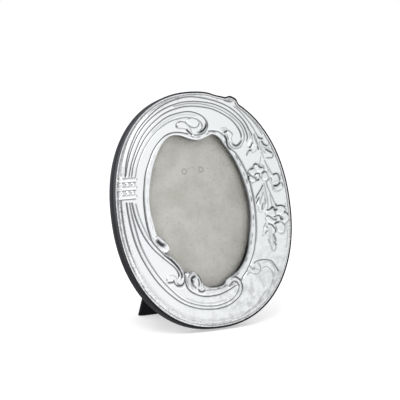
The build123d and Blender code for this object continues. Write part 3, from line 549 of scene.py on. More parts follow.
def add_piece(name, mesh, material, body, replaced):
    """Puts a finished mesh in the scene: it rides on its body and replaces nodes of the frame."""
    piece = bpy.data.objects.new(name, mesh)
    bpy.context.scene.collection.objects.link(piece)
    mesh.materials.append(material)
    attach(piece, body)
    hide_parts(*replaced)


# Silver front
COLUMNS = 1080
EVEN_ROWS = 66
# Extra rows near the outer edge, where the flange folds up into the border
BORDER_ROW_SHARES = (.006, .012, .022, .034, .046, .06, .074, .09)
WALL_ROWS = 4
UNDER_ROWS = 9
# The fan of lines from the window to the outer edge: its middle in u in mm, and how many columns on each side
# are averaged to make it even
FAN_MIDDLE_U = -5
EVENING_REACH = 60
# Distances to the outer edge and to the window's edge are measured up to these, in mm
EDGE_REACH = 12
WINDOW_REACH = 6
ROLL_POWER = .7
# How far the pattern's ground lies below the top of the roll, in mm
GROUND_DROP = .17
# How far the underside follows below the roll, and the highest that it goes, in mm
UNDERSIDE_DROP = .7
UNDERSIDE_LIMIT = 1.6
# Tarnish of the rows that the front doesn't cover, from 0 to 1; on the wall round the window it is painted
# shade in the recess as well
WALL_FILM_AND_SHADE = .82
EDGE_FILM = .3
UNDER_FILM = .5
FOOT_FILM = .8
# Width over which the sheet bends down to the window, and how far, in mm
LIP_WIDTH = 2.2
LIP_DROP = .55
# Places beside the window where the painted shadow in the gap is deepest and the lip drops further: middle
# and spread in u, then in v, in mm
LOW_CORNER = ((25, 15), (-41, 19))
LOW_BOTTOM = ((-1, 9), (-57, 6))
# Distance of the broken dark line from the window's edge, in mm
BROKEN_LINE_GAP = 1.9

# Creases: half width of the sharp core in mm, its share of the depth, and the length of each fading end in mm
CREASE_CORE = .5
CREASE_CORE_SHARE = .45
CREASE_END = 1.2
# The other pressed forms: heights, widths and radii in mm, and shares of them. A groove has depth and width
LOBE_SHOULDER = 1.8
LOBE_LINE = .5
LOBE_GROOVE = (.4, .6)
PETAL_HEIGHT = .85
PETAL_DIP_SHARE = .45
PETAL_FRILL_SHARE = .07
KNOB_HEIGHT = .9
STEM_HEIGHT = .45
STEM_WIDTH = .7
MARK_DEPTH = .45
MARK_RIM = .3
BAR_HEIGHT = 1.1
BAR_HALF_WIDTH = 1.15
BEAD_HEIGHT = .9
BEAD_RADIUS = 1.25
# Distances to the lines of lobes, marks and stems are measured up to these, in mm
LINE_REACH = 3
STEM_REACH = 2.5
# Darkest patina with painted shade beside each form, from 0 to 1: round lobes, petals, knobs and beads, under
# and over the bars and at their right ends, and in the broken line beside the window
LOBE_DARK = .3
PETAL_DARK = .42
PETAL_MIDDLE_DARK = .12
KNOB_DARK = .4
BEAD_DARK = .35
UNDER_BAR_DARK = .85
OVER_BAR_DARK = .4
BAR_END_DARK = .6
BROKEN_LINE_DARK = .9


def window_line(count):
    """The window's edge at count places, evenly spaced along it. Each corner stays sharp, because every
    piece of the edge is a curve of its own."""
    pieces = [smooth(piece) for piece in WINDOW]
    line = np.vstack([piece[:-1] for piece in pieces] + [pieces[0][:1]])
    run = np.concatenate(([0], np.cumsum(np.linalg.norm(np.diff(line, axis=0), axis=1))))
    where = np.linspace(0, run[-1], count, endpoint=False)
    return np.stack((np.interp(where, run, line[:, 0]), np.interp(where, run, line[:, 1])), axis=-1)


def facing_angle(edge):
    """Direction from the fan's middle that each place of the window's edge faces. It is made even by
    averaging round the loop, so that the lines from edge to edge fan out and never cross."""
    facing = np.unwrap(np.arctan2(edge[:, 1], edge[:, 0] - FAN_MIDDLE_U))
    whole = math.copysign(2 * math.pi, facing[-1] - facing[0])
    even = facing[0] + whole * np.arange(len(edge)) / len(edge)
    rest = facing - even
    weights = np.hanning(2 * EVENING_REACH + 1)
    weights /= weights.sum()
    rest = np.concatenate((rest[-EVENING_REACH:], rest, rest[:EVENING_REACH]))
    return even + np.convolve(rest, weights, mode="valid")


def round_fall(gap, radius):
    """1 at the line, falling to 0 at the radius along a quarter circle, as a cushion does beside its
    seam."""
    share = 1 - np.minimum(gap / radius, 1)
    return 1 - np.sqrt(1 - share ** 2)


def ends_fade(share, fade=0.05):
    """0 at both ends of a line and 1 between them, with a smooth rise over the given share of its length."""
    rise = np.clip(np.minimum(share, 1 - share) / fade, 0, 1)
    return rise * rise * (3 - 2 * rise)


def keep_larger(face, layer, values):
    face[layer] = np.maximum(face[layer], values)


def press_creases(points, face):
    """Each crease sinks along a narrow bell with a round shoulder, and the deepest wins where they meet."""
    radius = sizes().crease_radius / MM
    for depth, width, darkness, line in CREASES.values():
        curve = smooth(line)
        gap, share = nearest(points, curve, radius)
        fade = ends_fade(share, CREASE_END / np.linalg.norm(np.diff(curve, axis=0), axis=1).sum())
        core = CREASE_CORE_SHARE * bell(gap, CREASE_CORE)
        shoulder = (1 - CREASE_CORE_SHARE) * round_fall(gap, radius)
        keep_larger(face, "sink", fade * depth * (core + shoulder))
        keep_larger(face, "dark", fade * min(1.3 * darkness, .97) * bell(gap, 1.15 * width))


def press_lobes(points, face):
    """Each closed lobe rises along a quarter circle from its edge, with a faint dark line and a groove
    round it."""
    for height, line in LOBES.values():
        ring = smooth(line, closed=True)
        gap, _ = nearest(points, ring, LINE_REACH)
        within = inside(points, ring)
        groove = LOBE_GROOVE[0] * bell(gap, LOBE_GROOVE[1])
        face["lift"] = np.where(within, height * (1 - round_fall(gap, LOBE_SHOULDER)), face["lift"])
        face["sink"] = np.where(within, 0, np.maximum(face["sink"], groove))
        face["dark"] = np.where(within & (gap > LOBE_LINE), 0, face["dark"])
        keep_larger(face, "dark", LOBE_DARK * bell(gap, LOBE_LINE))


def press_hollows(points, face):
    """Each hollow is a flat-bottomed trough, a fourth-power bell across its line that closes at both
    ends. Its darkness, patina with painted shade, fills the trough the same way."""
    for depth, width, darkness, line in HOLLOWS.values():
        gap, share = nearest(points, smooth(line), 3 * width)
        body = np.sqrt(ends_fade(share, .3)) * bell(gap, width, 4)
        keep_larger(face, "sink", depth * body)
        keep_larger(face, "dark", darkness * body)


def press_petals(points, face):
    """Each petal is a flattened half ball with a dip in its middle. Its edge waves three times round it,
    and a groove and a dark line of patina with painted shade lie just outside; the dip gets a little painted
    shade too."""
    for middle_u, middle_v, long_half, wide_half, turn in PETALS + BUD:
        c, n = math.cos(math.radians(turn)), math.sin(math.radians(turn))
        u, v = points[:, 0] - middle_u, points[:, 1] - middle_v
        along, aside = (u * c + v * n) / long_half, (v * c - u * n) / wide_half
        frill = 1 + PETAL_FRILL_SHARE * np.cos(3 * np.arctan2(aside, along) + middle_u)
        ball = np.sqrt(along ** 2 + aside ** 2) / frill
        height = PETAL_HEIGHT * np.sqrt(np.clip(1 - ball ** 2, 0, 1)) * (1 - PETAL_DIP_SHARE * bell(ball, .4))
        face["lift"] = np.where(ball < 1, height, face["lift"])
        face["sink"] = np.where(ball < 1, 0, np.maximum(face["sink"], .35 * bell(ball - 1.1, .12)))
        face["dark"] = np.where(ball < .95, PETAL_MIDDLE_DARK * bell(ball, .5), face["dark"])
        keep_larger(face, "dark", PETAL_DARK * bell(ball - 1.07, .12))


def press_flower_middles(points, face):
    """The middle of each flower is a half ball with a dark ring of patina and painted shade round it."""
    for middle_u, middle_v, radius in FLOWER_MIDDLES:
        gap = np.hypot(points[:, 0] - middle_u, points[:, 1] - middle_v)
        knob = KNOB_HEIGHT * np.sqrt(np.clip(1 - (gap / radius) ** 2, 0, 1))
        face["lift"] = np.where(gap < radius * 1.5, knob, face["lift"])
        keep_larger(face, "dark", KNOB_DARK * bell(gap - radius * 1.15, .6))


def press_stems(points, face):
    """Each stem is a low bell across its line."""
    for line in STEMS:
        gap, share = nearest(points, smooth(line), STEM_REACH)
        keep_larger(face, "lift", STEM_HEIGHT * ends_fade(share) * bell(gap, STEM_WIDTH))


def press_marks(points, face):
    """Each dark mark is a shallow sunk bell with a low rise on both sides, and its dark line is patina with
    painted shade.
    """
    for width, darkness, line in MARKS:
        gap, _ = nearest(points, smooth(line, per=5), LINE_REACH)
        keep_larger(face, "sink", MARK_DEPTH * darkness * bell(gap, width))
        keep_larger(face, "lift", MARK_RIM * darkness * bell(gap - width - .7, .6))
        keep_larger(face, "dark", min(1.15 * darkness, 1) * bell(gap, 1.1 * width))


def pressed_pattern(points):
    """Height above the plain sheet in mm (lift - sink), and darkness from 0 to 1, at each place."""
    face = {layer: np.zeros(len(points)) for layer in ("sink", "lift", "dark")}
    for press in (press_creases, press_lobes, press_hollows, press_petals, press_flower_middles, press_stems,
                  press_marks):
        press(points, face)
    return face["lift"] - face["sink"], face["dark"]


def binding(points):
    """Height and darkness of the three bars and six beads, each a fourth-power bell of its own width. The
    dark is painted shade with patina in the gaps under and over every bar, at its right end and round every
    bead, deepest under the bars."""
    u, v = points.T
    lift, dark = np.zeros(len(points)), np.zeros(len(points))
    for left, right, level in BARS:
        across = np.maximum(np.maximum(left - u, u - right), 0)
        lift = np.maximum(lift, BAR_HEIGHT * bell(np.hypot(across, v - level), BAR_HALF_WIDTH, 4))
        along = bell(across, .7)
        under = UNDER_BAR_DARK * along * bell(v - level + 1.75, .55)
        over = OVER_BAR_DARK * along * bell(v - level - 1.7, .5)
        right_end = BAR_END_DARK * bell(u - right - 1.4, .45) * bell(v - level, 1.1)
        dark = np.maximum.reduce((dark, under, over, right_end))
    for middle_u, middle_v in BEADS:
        gap = np.hypot(u - middle_u, v - middle_v)
        lift = np.maximum(lift, BEAD_HEIGHT * bell(gap, BEAD_RADIUS, 4))
        dark = np.maximum(dark, BEAD_DARK * bell(gap - 1.8, .5))
    return lift, dark


def low_corner(points):
    """1 at the window's lower right corner, falling along a bell to each side."""
    (u, wide), (v, high) = LOW_CORNER
    return bell(points[:, 0] - u, wide) * bell(points[:, 1] - v, high)


def low_edge(points):
    """The lower right corner together with the bottom of the window, a fourth-power bell."""
    (u, wide), (v, high) = LOW_BOTTOM
    bottom = .8 * bell(points[:, 0] - u, wide, 4) * bell(points[:, 1] - v, high, 4)
    return np.maximum(low_corner(points), bottom)


def window_shade(points, window_gap, column):
    """Painted shadow beside the window, where the card meets the silver and in the recess: a bell from its
    edge that widens low on the right, a straight fall over a few mm there, and a broken line that two sine
    waves along the edge cut into dashes, stronger on the right."""
    low = low_edge(points)
    right = np.clip((points[:, 0] + 14) / 12, 0, 1)
    edge = np.clip(.3 + .25 * right + .6 * low, 0, 1) * bell(window_gap, .5 + 1.2 * low)
    fall = .38 * low_corner(points) * np.clip(1 - window_gap / 3.8, 0, 1)
    dashes = np.clip(np.sin(.21 * column) * np.sin(.083 * column + 1) + .35, 0, 1)
    broken = BROKEN_LINE_DARK * dashes * (.3 + .7 * right) * bell(window_gap - BROKEN_LINE_GAP, .5)
    return np.maximum.reduce((edge, fall, broken))


def border_patina_and_shade(points, edge_gap):
    """Darkening of the border: a faint line of patina at the flange's fold, with painted shade growing
    towards the right, and a broad grey band low on the oval, painted shade growing towards the bottom.
    """
    side = np.clip((points[:, 0] - 10) / 40, 0, 1)
    fold = (.08 + .05 * side) * bell(edge_gap - sizes().flange / MM, .8)
    band = .26 * bell(edge_gap - 3.6, 2.4) * np.clip((-30 - points[:, 1]) / 25, 0, 1)
    return np.maximum(fold, band)


def sheet_face(points, edge_gap, window_gap, column):
    """Height, and patina with painted shade, of the front. Height = sheet + roll + pattern + binding - lip,
    where the roll rises beside the flange along a softened quarter ellipse and the lip falls along a quarter
    circle."""
    s = sizes()
    rise = np.clip((edge_gap - s.flange / MM) / (s.roll_width / MM), 0, 1)
    roll = s.roll_height / MM * (1 - (1 - rise) ** 2) ** ROLL_POWER
    pattern, dark = pressed_pattern(points)
    bars, bar_dark = binding(points)
    pattern = pattern * (1 - np.clip(bars / .4, 0, 1)) - GROUND_DROP
    dark = np.maximum(dark, bar_dark) * np.clip(1 - bars / .6, 0, 1) * np.clip(edge_gap / 1.6, 0, 1)
    lip = (LIP_DROP + LIP_DROP * low_corner(points)) * round_fall(window_gap, LIP_WIDTH)
    level = s.sheet / MM + roll + pattern * rise + bars * np.clip(edge_gap / 3, 0, 1) - lip
    film_and_shade = np.maximum.reduce((dark, window_shade(points, window_gap, column), border_patina_and_shade(points, edge_gap)))
    return level, film_and_shade


def silver_sheet():
    """The sheet as a closed loop of rows: up the wall that is turned down round the window, over the front
    along straight lines to the outer edge, back along the underside, and down inside the wall."""
    s = sizes()
    sheet, flange = s.sheet / MM, s.flange / MM
    inner = window_line(COLUMNS)[::-1]
    outer = outline(facing_angle(inner), s.velvet / MM)
    width = np.linalg.norm(outer - inner, axis=1)
    share = np.concatenate((np.linspace(0, 1, EVEN_ROWS), 1 - np.array(BORDER_ROW_SHARES)))
    share = np.sort(share)[:, None, None]
    flat = inner * (1 - share) + outer * share
    points = flat.reshape(-1, 2)
    edge_gap, _ = nearest(points, np.vstack((outer[::3], outer[:1])), EDGE_REACH)
    window_gap, _ = nearest(points, np.vstack((inner, inner[:1])), WINDOW_REACH)
    column = np.tile(np.arange(COLUMNS), len(flat))
    front = sheet_face(points, edge_gap, window_gap, column) + (edge_gap,)
    level, film_and_shade, gap = (values.reshape(-1, COLUMNS) for values in front)

    rows = []

    def add(place, height, patina_and_shade, away):
        rows.append([place] + [np.broadcast_to(value, COLUMNS) for value in (height, patina_and_shade, away)])

    foot = -s.wall_drop / MM
    # Painted shade on the wall round the window, deepest low on the right
    wall_film_and_shade = WALL_FILM_AND_SHADE + (1 - WALL_FILM_AND_SHADE) * low_edge(inner)
    for k in range(WALL_ROWS):
        add(inner, foot + (level[0] - foot) * k / WALL_ROWS, wall_film_and_shade, EDGE_REACH)
    for row in zip(flat, level, film_and_shade, gap):
        add(*row)
    add(outer, 0, EDGE_FILM, 0)
    outward = (outer - inner) / width[:, None] * sheet
    for k in range(UNDER_ROWS):
        part = 1 - (k + 1) / UNDER_ROWS
        away = (1 - part) * width + flange / 2
        up = np.clip((away - flange - sheet) / (s.roll_width / MM), 0, 1)
        under = s.roll_height / MM * np.sqrt(1 - (1 - up) ** 2) - UNDERSIDE_DROP
        under = np.clip(np.where(away > flange + sheet, under, 0), 0, UNDERSIDE_LIMIT)
        last = k == UNDER_ROWS - 1
        add(inner * (1 - part) + outer * part + outward * last, under, UNDER_FILM, EDGE_REACH)
    add(inner + outward, foot, FOOT_FILM, EDGE_REACH)
    flat, level, film_and_shade, gap = (np.stack(layer) for layer in zip(*rows))
    return stand_up(flat, level), film_and_shade, gap


# Materials
def new_material(name):
    material = bpy.data.materials.new(name)
    material.use_nodes = True
    return material, material.node_tree.nodes["Principled BSDF"]


def add_node(owner, kind, settings=None, inputs=None):
    """Adds one node to a material or the world. Each input is a number, a hex colour or another node's
    socket."""
    node = owner.node_tree.nodes.new(kind)
    for key, value in (settings or {}).items():
        setattr(node, key, value)
    for key, value in (inputs or {}).items():
        if isinstance(value, bpy.types.NodeSocket):
            owner.node_tree.links.new(value, node.inputs[key])
        else:
            node.inputs[key].default_value = linear(value) if isinstance(value, str) else value
    return node


def link(owner, socket, node, name):
    owner.node_tree.links.new(socket, node.inputs[name])


def noise(material, spacing, detail=3, stretch=(1, 1, 1), roughness=.5):
    """Noise on Object coordinates whose lumps are about one spacing apart, given in mm."""
    where = add_node(material, "ShaderNodeTexCoord")
    inputs = {"Scale": stretch, "Vector": where.outputs["Object"]}
    stretched = add_node(material, "ShaderNodeMapping", inputs=inputs)
    inputs = {"Scale": 1 / (spacing * MM), "Detail": detail, "Roughness": roughness,
              "Vector": stretched.outputs["Vector"]}
    return add_node(material, "ShaderNodeTexNoise", inputs=inputs).outputs["Fac"]


def ramp(material, socket, stops):
    """Colour along two stops, each a place from 0 to 1 and a hex colour."""
    node = add_node(material, "ShaderNodeValToRGB", inputs={"Fac": socket})
    for element, (place, code) in zip(node.color_ramp.elements, stops):
        element.position = place
        element.color = linear(code)
    return node.outputs["Color"]


def bump(material, height, depth, shader, strength):
    """Bump of a depth in mm on the shader's normal."""
    node = add_node(material, "ShaderNodeBump", inputs={"Strength": strength, "Distance": depth * MM,
                                                        "Height": height})
    link(material, node.outputs["Normal"], shader, "Normal")


def attribute(material, name):
    return add_node(material, "ShaderNodeAttribute", {"attribute_name": name}).outputs["Fac"]


def math_node(owner, operation, first, second=0):
    return add_node(owner, "ShaderNodeMath", {"operation": operation}, {0: first, 1: second}).outputs[0]


def remap(owner, value, source, target, curve="LINEAR"):
    """Maps a value from the source range onto the target range, and no further than its ends."""
    inputs = {"Value": value, "From Min": source[0], "From Max": source[1], "To Min": target[0],
              "To Max": target[1]}
    return add_node(owner, "ShaderNodeMapRange", {"interpolation_type": curve}, inputs).outputs["Result"]


def mix_colour(material, share, first, second, blend="MIX"):
    settings = {"data_type": "RGBA", "blend_type": blend}
    return add_node(material, "ShaderNodeMix", settings, {0: share, 6: first, 7: second}).outputs[2]


def place_along(material, axis):
    """Object coordinate along one axis, in metres."""
    where = add_node(material, "ShaderNodeTexCoord")
    split = add_node(material, "ShaderNodeSeparateXYZ", inputs={"Vector": where.outputs["Object"]})
    return split.outputs[axis]


def gap_from(material, place):
    """Distance in metres from a place on the card's face, given in mm."""
    where = add_node(material, "ShaderNodeTexCoord")
    inputs = {0: where.outputs["Object"], 1: tuple(stand_up(place, CARD_FACE))}
    return add_node(material, "ShaderNodeVectorMath", {"operation": "DISTANCE"}, inputs).outputs["Value"]


def pressed_silver():
    """Sheet silver, pressed and hand polished: bright and slightly soft on the high parts, with a black
    sulphide patina left in the creases and painted shade in the creases, hollows, gaps and recesses, and a
    finely hammered border whose grey flecks are a painted reflection of the hammer facets. The face is also
    painted darker towards the right and in patches low on the right, as painted shade."""
    c = colours()
    material, shader = new_material("pressed_polished_silver")
    film_and_shade = attribute(material, "film_and_shade")
    hammering = noise(material, 1.6, 4, roughness=.65)
    near_edge = remap(material, attribute(material, "edge_gap"), (7, 2), (0, 1), "SMOOTHSTEP")
    hammered_patches = math_node(material, "MULTIPLY", near_edge, noise(material, 9, 2))
    side = remap(material, place_along(material, "X"), (-.04, .06), (0, 1))
    low = remap(material, place_along(material, "Z"), (.07, .025), (0, .85))
    patches = ramp(material, noise(material, 5, 4, roughness=.6), ((.42, "#000000"), (.62, "#FFFFFF")))
    # Painted shade in noisy patches, growing low on the right, away from the light
    low_right_shade = math_node(material, "MULTIPLY", math_node(material, "MULTIPLY", low, side), patches)
    # Painted shade: the silver is darker towards the right, where it turns from the light
    broad = mix_colour(material, side, c.silver, c.silver_right)
    broad = mix_colour(material, low_right_shade, broad, c.silver_low_right_shade)
    # Painted reflection: the hammered flecks go grey and near white by a noise, in patches near the edge
    fleck_shading = ramp(material, hammering, ((.35, c.silver_fleck_shade), (.54, "#F8F9FA")))
    # Painted shade with patina: the creases, hollows and gaps go dark and then black
    tone = mix_colour(material, film_and_shade, mix_colour(material, hammered_patches, broad, fleck_shading), c.patina_and_shade)
    tone = mix_colour(material, remap(material, film_and_shade, (.86, 1), (0, 1)), tone, c.deepest_patina_and_shade)
    link(material, tone, shader, "Base Color")
    link(material, remap(material, film_and_shade, (0, 1), (.2, .6)), shader, "Roughness")
    shader.inputs["Metallic"].default_value = 1.0
    coarse = math_node(material, "MULTIPLY", hammering, math_node(material, "MULTIPLY", hammered_patches, .7))
    fine = math_node(material, "MULTIPLY", noise(material, 2.4, 2), .35)
    bump(material, math_node(material, "ADD", coarse, fine), .12, shader, .5)
    return material


def velvet(name, nap_and_light):
    """Cotton velvet: near black looking into the pile, lighter where light grazes it, and, where the nap
    attribute is used, lighter by brushed pile together with painted light and shade."""
    c = colours()
    material, shader = new_material(name)
    pile = noise(material, .7)
    ground = mix_colour(material, attribute(material, "nap_and_light"), c.velvet, c.velvet_nap_and_light) if nap_and_light else c.velvet
    spots = ramp(material, pile, ((.3, "#B5B5B5"), (.7, "#FFFFFF")))
    link(material, mix_colour(material, 1.0, ground, spots, "MULTIPLY"), shader, "Base Color")
    shader.inputs["Roughness"].default_value = .95
    shader.inputs["Specular IOR Level"].default_value = .15
    shader.inputs["Sheen Weight"].default_value = .35
    shader.inputs["Sheen Roughness"].default_value = .4
    shader.inputs["Sheen Tint"].default_value = linear(c.velvet_sheen)
    bump(material, pile, .25, shader, .6)
    return material


def picture_glass():
    """Flat drawn glass, clear, with a faint green in its thickness. Shadow and diffuse rays pass straight
    through."""
    material, shader = new_material("clear_picture_glass")
    shader.inputs["Base Color"].default_value = linear("#F6FAF8")
    shader.inputs["Transmission Weight"].default_value = 1.0
    shader.inputs["Roughness"].default_value = .02
    shader.inputs["IOR"].default_value = 1.45
    path = add_node(material, "ShaderNodeLightPath")
    clear = add_node(material, "ShaderNodeBsdfTransparent")
    through = math_node(material, "MAXIMUM", path.outputs["Is Shadow Ray"], path.outputs["Is Diffuse Ray"])
    inputs = {0: through, 1: shader.outputs[0], 2: clear.outputs[0]}
    mix = add_node(material, "ShaderNodeMixShader", inputs=inputs)
    link(material, mix.outputs[0], material.node_tree.nodes["Material Output"], "Surface")
    return material


# The card: level of its face, the places and size of the rings that the rivets press, and the darker patch,
# in mm
CARD_FACE = -3.0
RING_PLACES = ((-12.2, 29.9), (2.05, 30.4))
RING_RADIUS = 1.9
RING_HALF_WIDTH = 1.0
DARK_PATCH_PLACE = (29, 9)
DARK_PATCH_HEART = 2
DARK_PATCH_RADIUS = 15


def insert_card():
    """Uncoated grey card: faintly mottled and flecked, a little darker towards the right as painted shade and
    round one darker patch, with two pressed ring marks where the hinge rivets bear on it from behind, each
    darkened in its groove by painted shade."""
    c = colours()
    material, shader = new_material("uncoated_grey_card")
    blotches = noise(material, 14)
    # Painted shade: the card darkens towards the right
    slope = remap(material, place_along(material, "X"), (-.03, .045), (0, .35))
    ground = mix_colour(material, slope, c.card, c.card_shade)
    spots = ramp(material, blotches, ((.3, "#E9E8E5"), (.62, "#FFFFFF")))
    ground = mix_colour(material, 1.0, ground, spots, "MULTIPLY")
    # A darker, blotchy patch right of the middle
    dark_patch_gap = gap_from(material, DARK_PATCH_PLACE)
    dark_patch = remap(material, dark_patch_gap, (DARK_PATCH_HEART * MM, DARK_PATCH_RADIUS * MM), (.5, 0), "SMOOTHSTEP")
    ground = mix_colour(material, math_node(material, "MULTIPLY", dark_patch, blotches), ground, c.card_dark_patch)
    specks = ramp(material, noise(material, 1.6), ((.33, "#8B887F"), (.42, "#FFFFFF")))
    ground = mix_colour(material, .3, ground, specks, "MULTIPLY")
    rings = []
    for place in RING_PLACES:
        off = math_node(material, "SUBTRACT", gap_from(material, place), RING_RADIUS * MM)
        off = math_node(material, "ABSOLUTE", off)
        rings.append(remap(material, off, (0, RING_HALF_WIDTH * MM), (1, 0), "SMOOTHSTEP"))
    # Painted shade in the grooves of the pressed rings
    pressed = math_node(material, "MAXIMUM", *rings)
    ground = mix_colour(material, math_node(material, "MULTIPLY", pressed, .55), ground, c.card_ring_mark_and_shade)
    link(material, ground, shader, "Base Color")
    shader.inputs["Roughness"].default_value = .8
    sunk = math_node(material, "MULTIPLY", pressed, -2.0)
    bump(material, math_node(material, "ADD", noise(material, 1.1, 2), sunk), .03, shader, .3)
    return material


def plain_metal(name, code, rough):
    """Rolled and plated sheet: even colour with fine rubbing marks that vary the gloss."""
    material, shader = new_material(name)
    shader.inputs["Metallic"].default_value = 1.0
    marks = noise(material, .6, stretch=(1, .12, .12))
    light = ramp(material, marks, ((.2, code), (.8, "#FFFFFF")))
    base = mix_colour(material, math_node(material, "MULTIPLY", marks, .25), code, light)
    link(material, base, shader, "Base Color")
    link(material, remap(material, marks, (0, 1), (rough, rough + .2)), shader, "Roughness")
    bump(material, marks, .02, shader, .3)
    return material


def fibrous(name, fibres, stops, rough, depth):
    """A dry and dull material whose colour and height both follow its fibres: spacing in mm, detail,
    stretch."""
    material, shader = new_material(name)
    spacing, detail, along = fibres
    grain = noise(material, spacing, detail, stretch=(1, 1, along))
    link(material, ramp(material, grain, stops), shader, "Base Color")
    shader.inputs["Roughness"].default_value = rough
    bump(material, grain, depth, shader, .4)
    return material


def pine():
    """Sawn softwood: pale and dark growth bands about 2 mm apart, stretched along the grain."""
    return fibrous("sawn_pine", (2, 3, .08), ((.35, "#B98F5E"), (.65, "#D9B98A")), .75, .1)


def greyboard():
    """Dense grey-brown board, flecked with fibres about 1 mm long."""
    return fibrous("dense_greyboard", (1, 4, .4), ((.3, "#8A7E6C"), (.7, "#A89B86")), .85, .06)


def dress(node, material):
    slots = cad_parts[node].material_slots
    for slot in slots:
        slot.material = material
    if not slots:
        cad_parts[node].data.materials.append(material)


# Turned and wrapped pieces, in mm
BAND_COLUMNS = 540
WINDOW_MIDDLE = (-5.5, -.5)
REBATE = (51, 67.5)
PIN_COUNT = 8
RIVET_V = 30.2
RIVET_GAP = 7.1
STRUT_RIVET_V = 11.7
HINGE_V = 21.7
HINGE_W = -11.75
# The velvet from under the silver over the front corner to the back: inset, level, and nap from 0 to 1, which
# is brushed pile together with painted light, lightest towards the back
VELVET_PROFILE = (
    (1.3, 0, 0), (1.5, .5, .1), (1.3, .72, .2), (.9, .78, .35), (.5, .68, .3), (.15, .3, .2),
    (0, -.4, .15), (0, -2.6, .2), (0, -4.4, .35), (0, -6.2, .75), (0, -7.8, 1), (.02, -8.8, 1),
    (.2, -9.5, .9), (.5, -9.85, .6), (1, -10, .4), (3, -10, .3),
)
# Directions in degrees of the painted shade on the nap, darkest low on the left, and of the painted light,
# lightest high on the left
PAINTED_SHADE_TURN = 240
PAINTED_LIGHT_TURN = 148
BAND_BACK = -10
BAND_FOLD = -9.2
# The strut, and its rows: how far from its top each one is, and how far its faces are drawn in there
STRUT_COLUMNS = 96
STRUT_TOP_V = 19.3
STRUT_MIDDLE_W = -13.8
STRUT_HALF_THICKNESS = 2.7
STRUT_LENGTH = 112
STRUT_TOP_HALF_WIDTH = 16
STRUT_FOOT_HALF_WIDTH = 31
STRUT_CORNER = 4
# Powers that square off the strut's cross-section over its width and its thickness
WIDTH_POWER = .16
THICKNESS_POWER = .5
STRUT_ROWS = ((0, 1.2), (.25, .45), (.8, .1), (2, 0), (20, 0), (45, 0), (70, 0), (95, 0), (STRUT_LENGTH, 0))
GLASS_COLUMNS = 240
GLASS_CLEARANCE = .5
GLASS_FRONT = -1.55
GLASS_BACK = -2.9
GLASS_BEVEL = .15
# Rivets of the hinge leaves: radius and level
BOARD_RIVET = ((2.3, -3.5), (2.3, -3.8), (1.2, -3.8), (1.2, -10.8), (2.3, -10.8), (2.25, -11.05),
               (1.95, -11.3), (1.5, -11.45), (.9, -11.5), (.55, -11.2), (.5, -10.9))
STRUT_RIVET = ((1.2, -11.1), (1.2, -16.5), (2.3, -16.5), (2.25, -16.75), (1.95, -17), (1.5, -17.15),
               (.8, -17.2))
SCREW_SHANK = ((1, -11.4), (1, -4))
# Slot across a screw's head: chords by their share of the radius, and how many points run over and under each
SLOT_HALF = .16
SLOT_CHORDS = (-.985, -.93, -.8, -.6, -.4, -SLOT_HALF - .02, -SLOT_HALF,
               SLOT_HALF, SLOT_HALF + .02, .4, .6, .8, .93, .985)
CHORD_OVER = 17
CHORD_UNDER = 9
BUTTON_DEGREES = (38, 142, 218, 322)
BUTTON_GAP = 4.2


def full_turn(count):
    return np.linspace(0, 2 * math.pi, count, endpoint=False)


def swing(places):
    """Turns places in metres about the hinge pin by the strut's opening."""
    s = sizes()
    middle = stand_up((0, HINGE_V), HINGE_W)
    across, up = places[..., 1] - middle[1], places[..., 2] - middle[2]
    c, n = math.cos(s.strut_opening), math.sin(s.strut_opening)
    y, z = middle[1] + across * c - up * n, middle[2] + across * n + up * c
    return np.stack((places[..., 0], y, z), axis=-1)


def rebate_oval(turn, inset=0):
    """The opening for glass and board: an ellipse round the window's middle, moved inwards by inset mm."""
    return np.stack((WINDOW_MIDDLE[0] + (REBATE[0] - inset) * np.cos(turn),
                     WINDOW_MIDDLE[1] + (REBATE[1] - inset) * np.sin(turn)), axis=-1)


def velvet_cover():
    """The covering as a closed loop of rows: at each angle the profile goes from under the silver's edge
    over the rounded front corner, down the side, round the back corner and across the back to the opening
    for the board. The nap adds painted shade and light in two cosine humps: painted shade low on the left
    and painted light high on the left."""
    turn = full_turn(BAND_COLUMNS)
    left = np.clip(-np.cos(turn), 0, 1)
    low_left = np.clip(np.cos(turn - math.radians(PAINTED_SHADE_TURN)), 0, 1)
    high_left = np.clip(np.cos(turn - math.radians(PAINTED_LIGHT_TURN)), 0, 1) ** 2
    rows = []
    for inset, level, light in VELVET_PROFILE:
        edge = outline(turn, inset * (1 - .3 * left * (level > 0)))
        # Painted light and shade on the nap: lighter on the lit rows and high on the left, darker low on the
        # left
        rows.append((edge, level, .6 * light * (1 - .85 * low_left) + .8 * high_left * (level > -1)))
    rows += [(rebate_oval(turn), level, .2) for level in (BAND_BACK, BAND_FOLD)]
    rows.append((outline(turn, sizes().velvet / MM), BAND_FOLD, 0))
    edges, levels, naps_and_light = zip(*rows)
    places = stand_up(np.stack(edges), np.array(levels)[:, None])
    places[..., 2] = np.maximum(places[..., 2], 0)
    nap_and_light = np.stack([np.broadcast_to(light, BAND_COLUMNS) for light in naps_and_light])
    return places[::-1], np.clip(nap_and_light, 0, 1)[::-1]


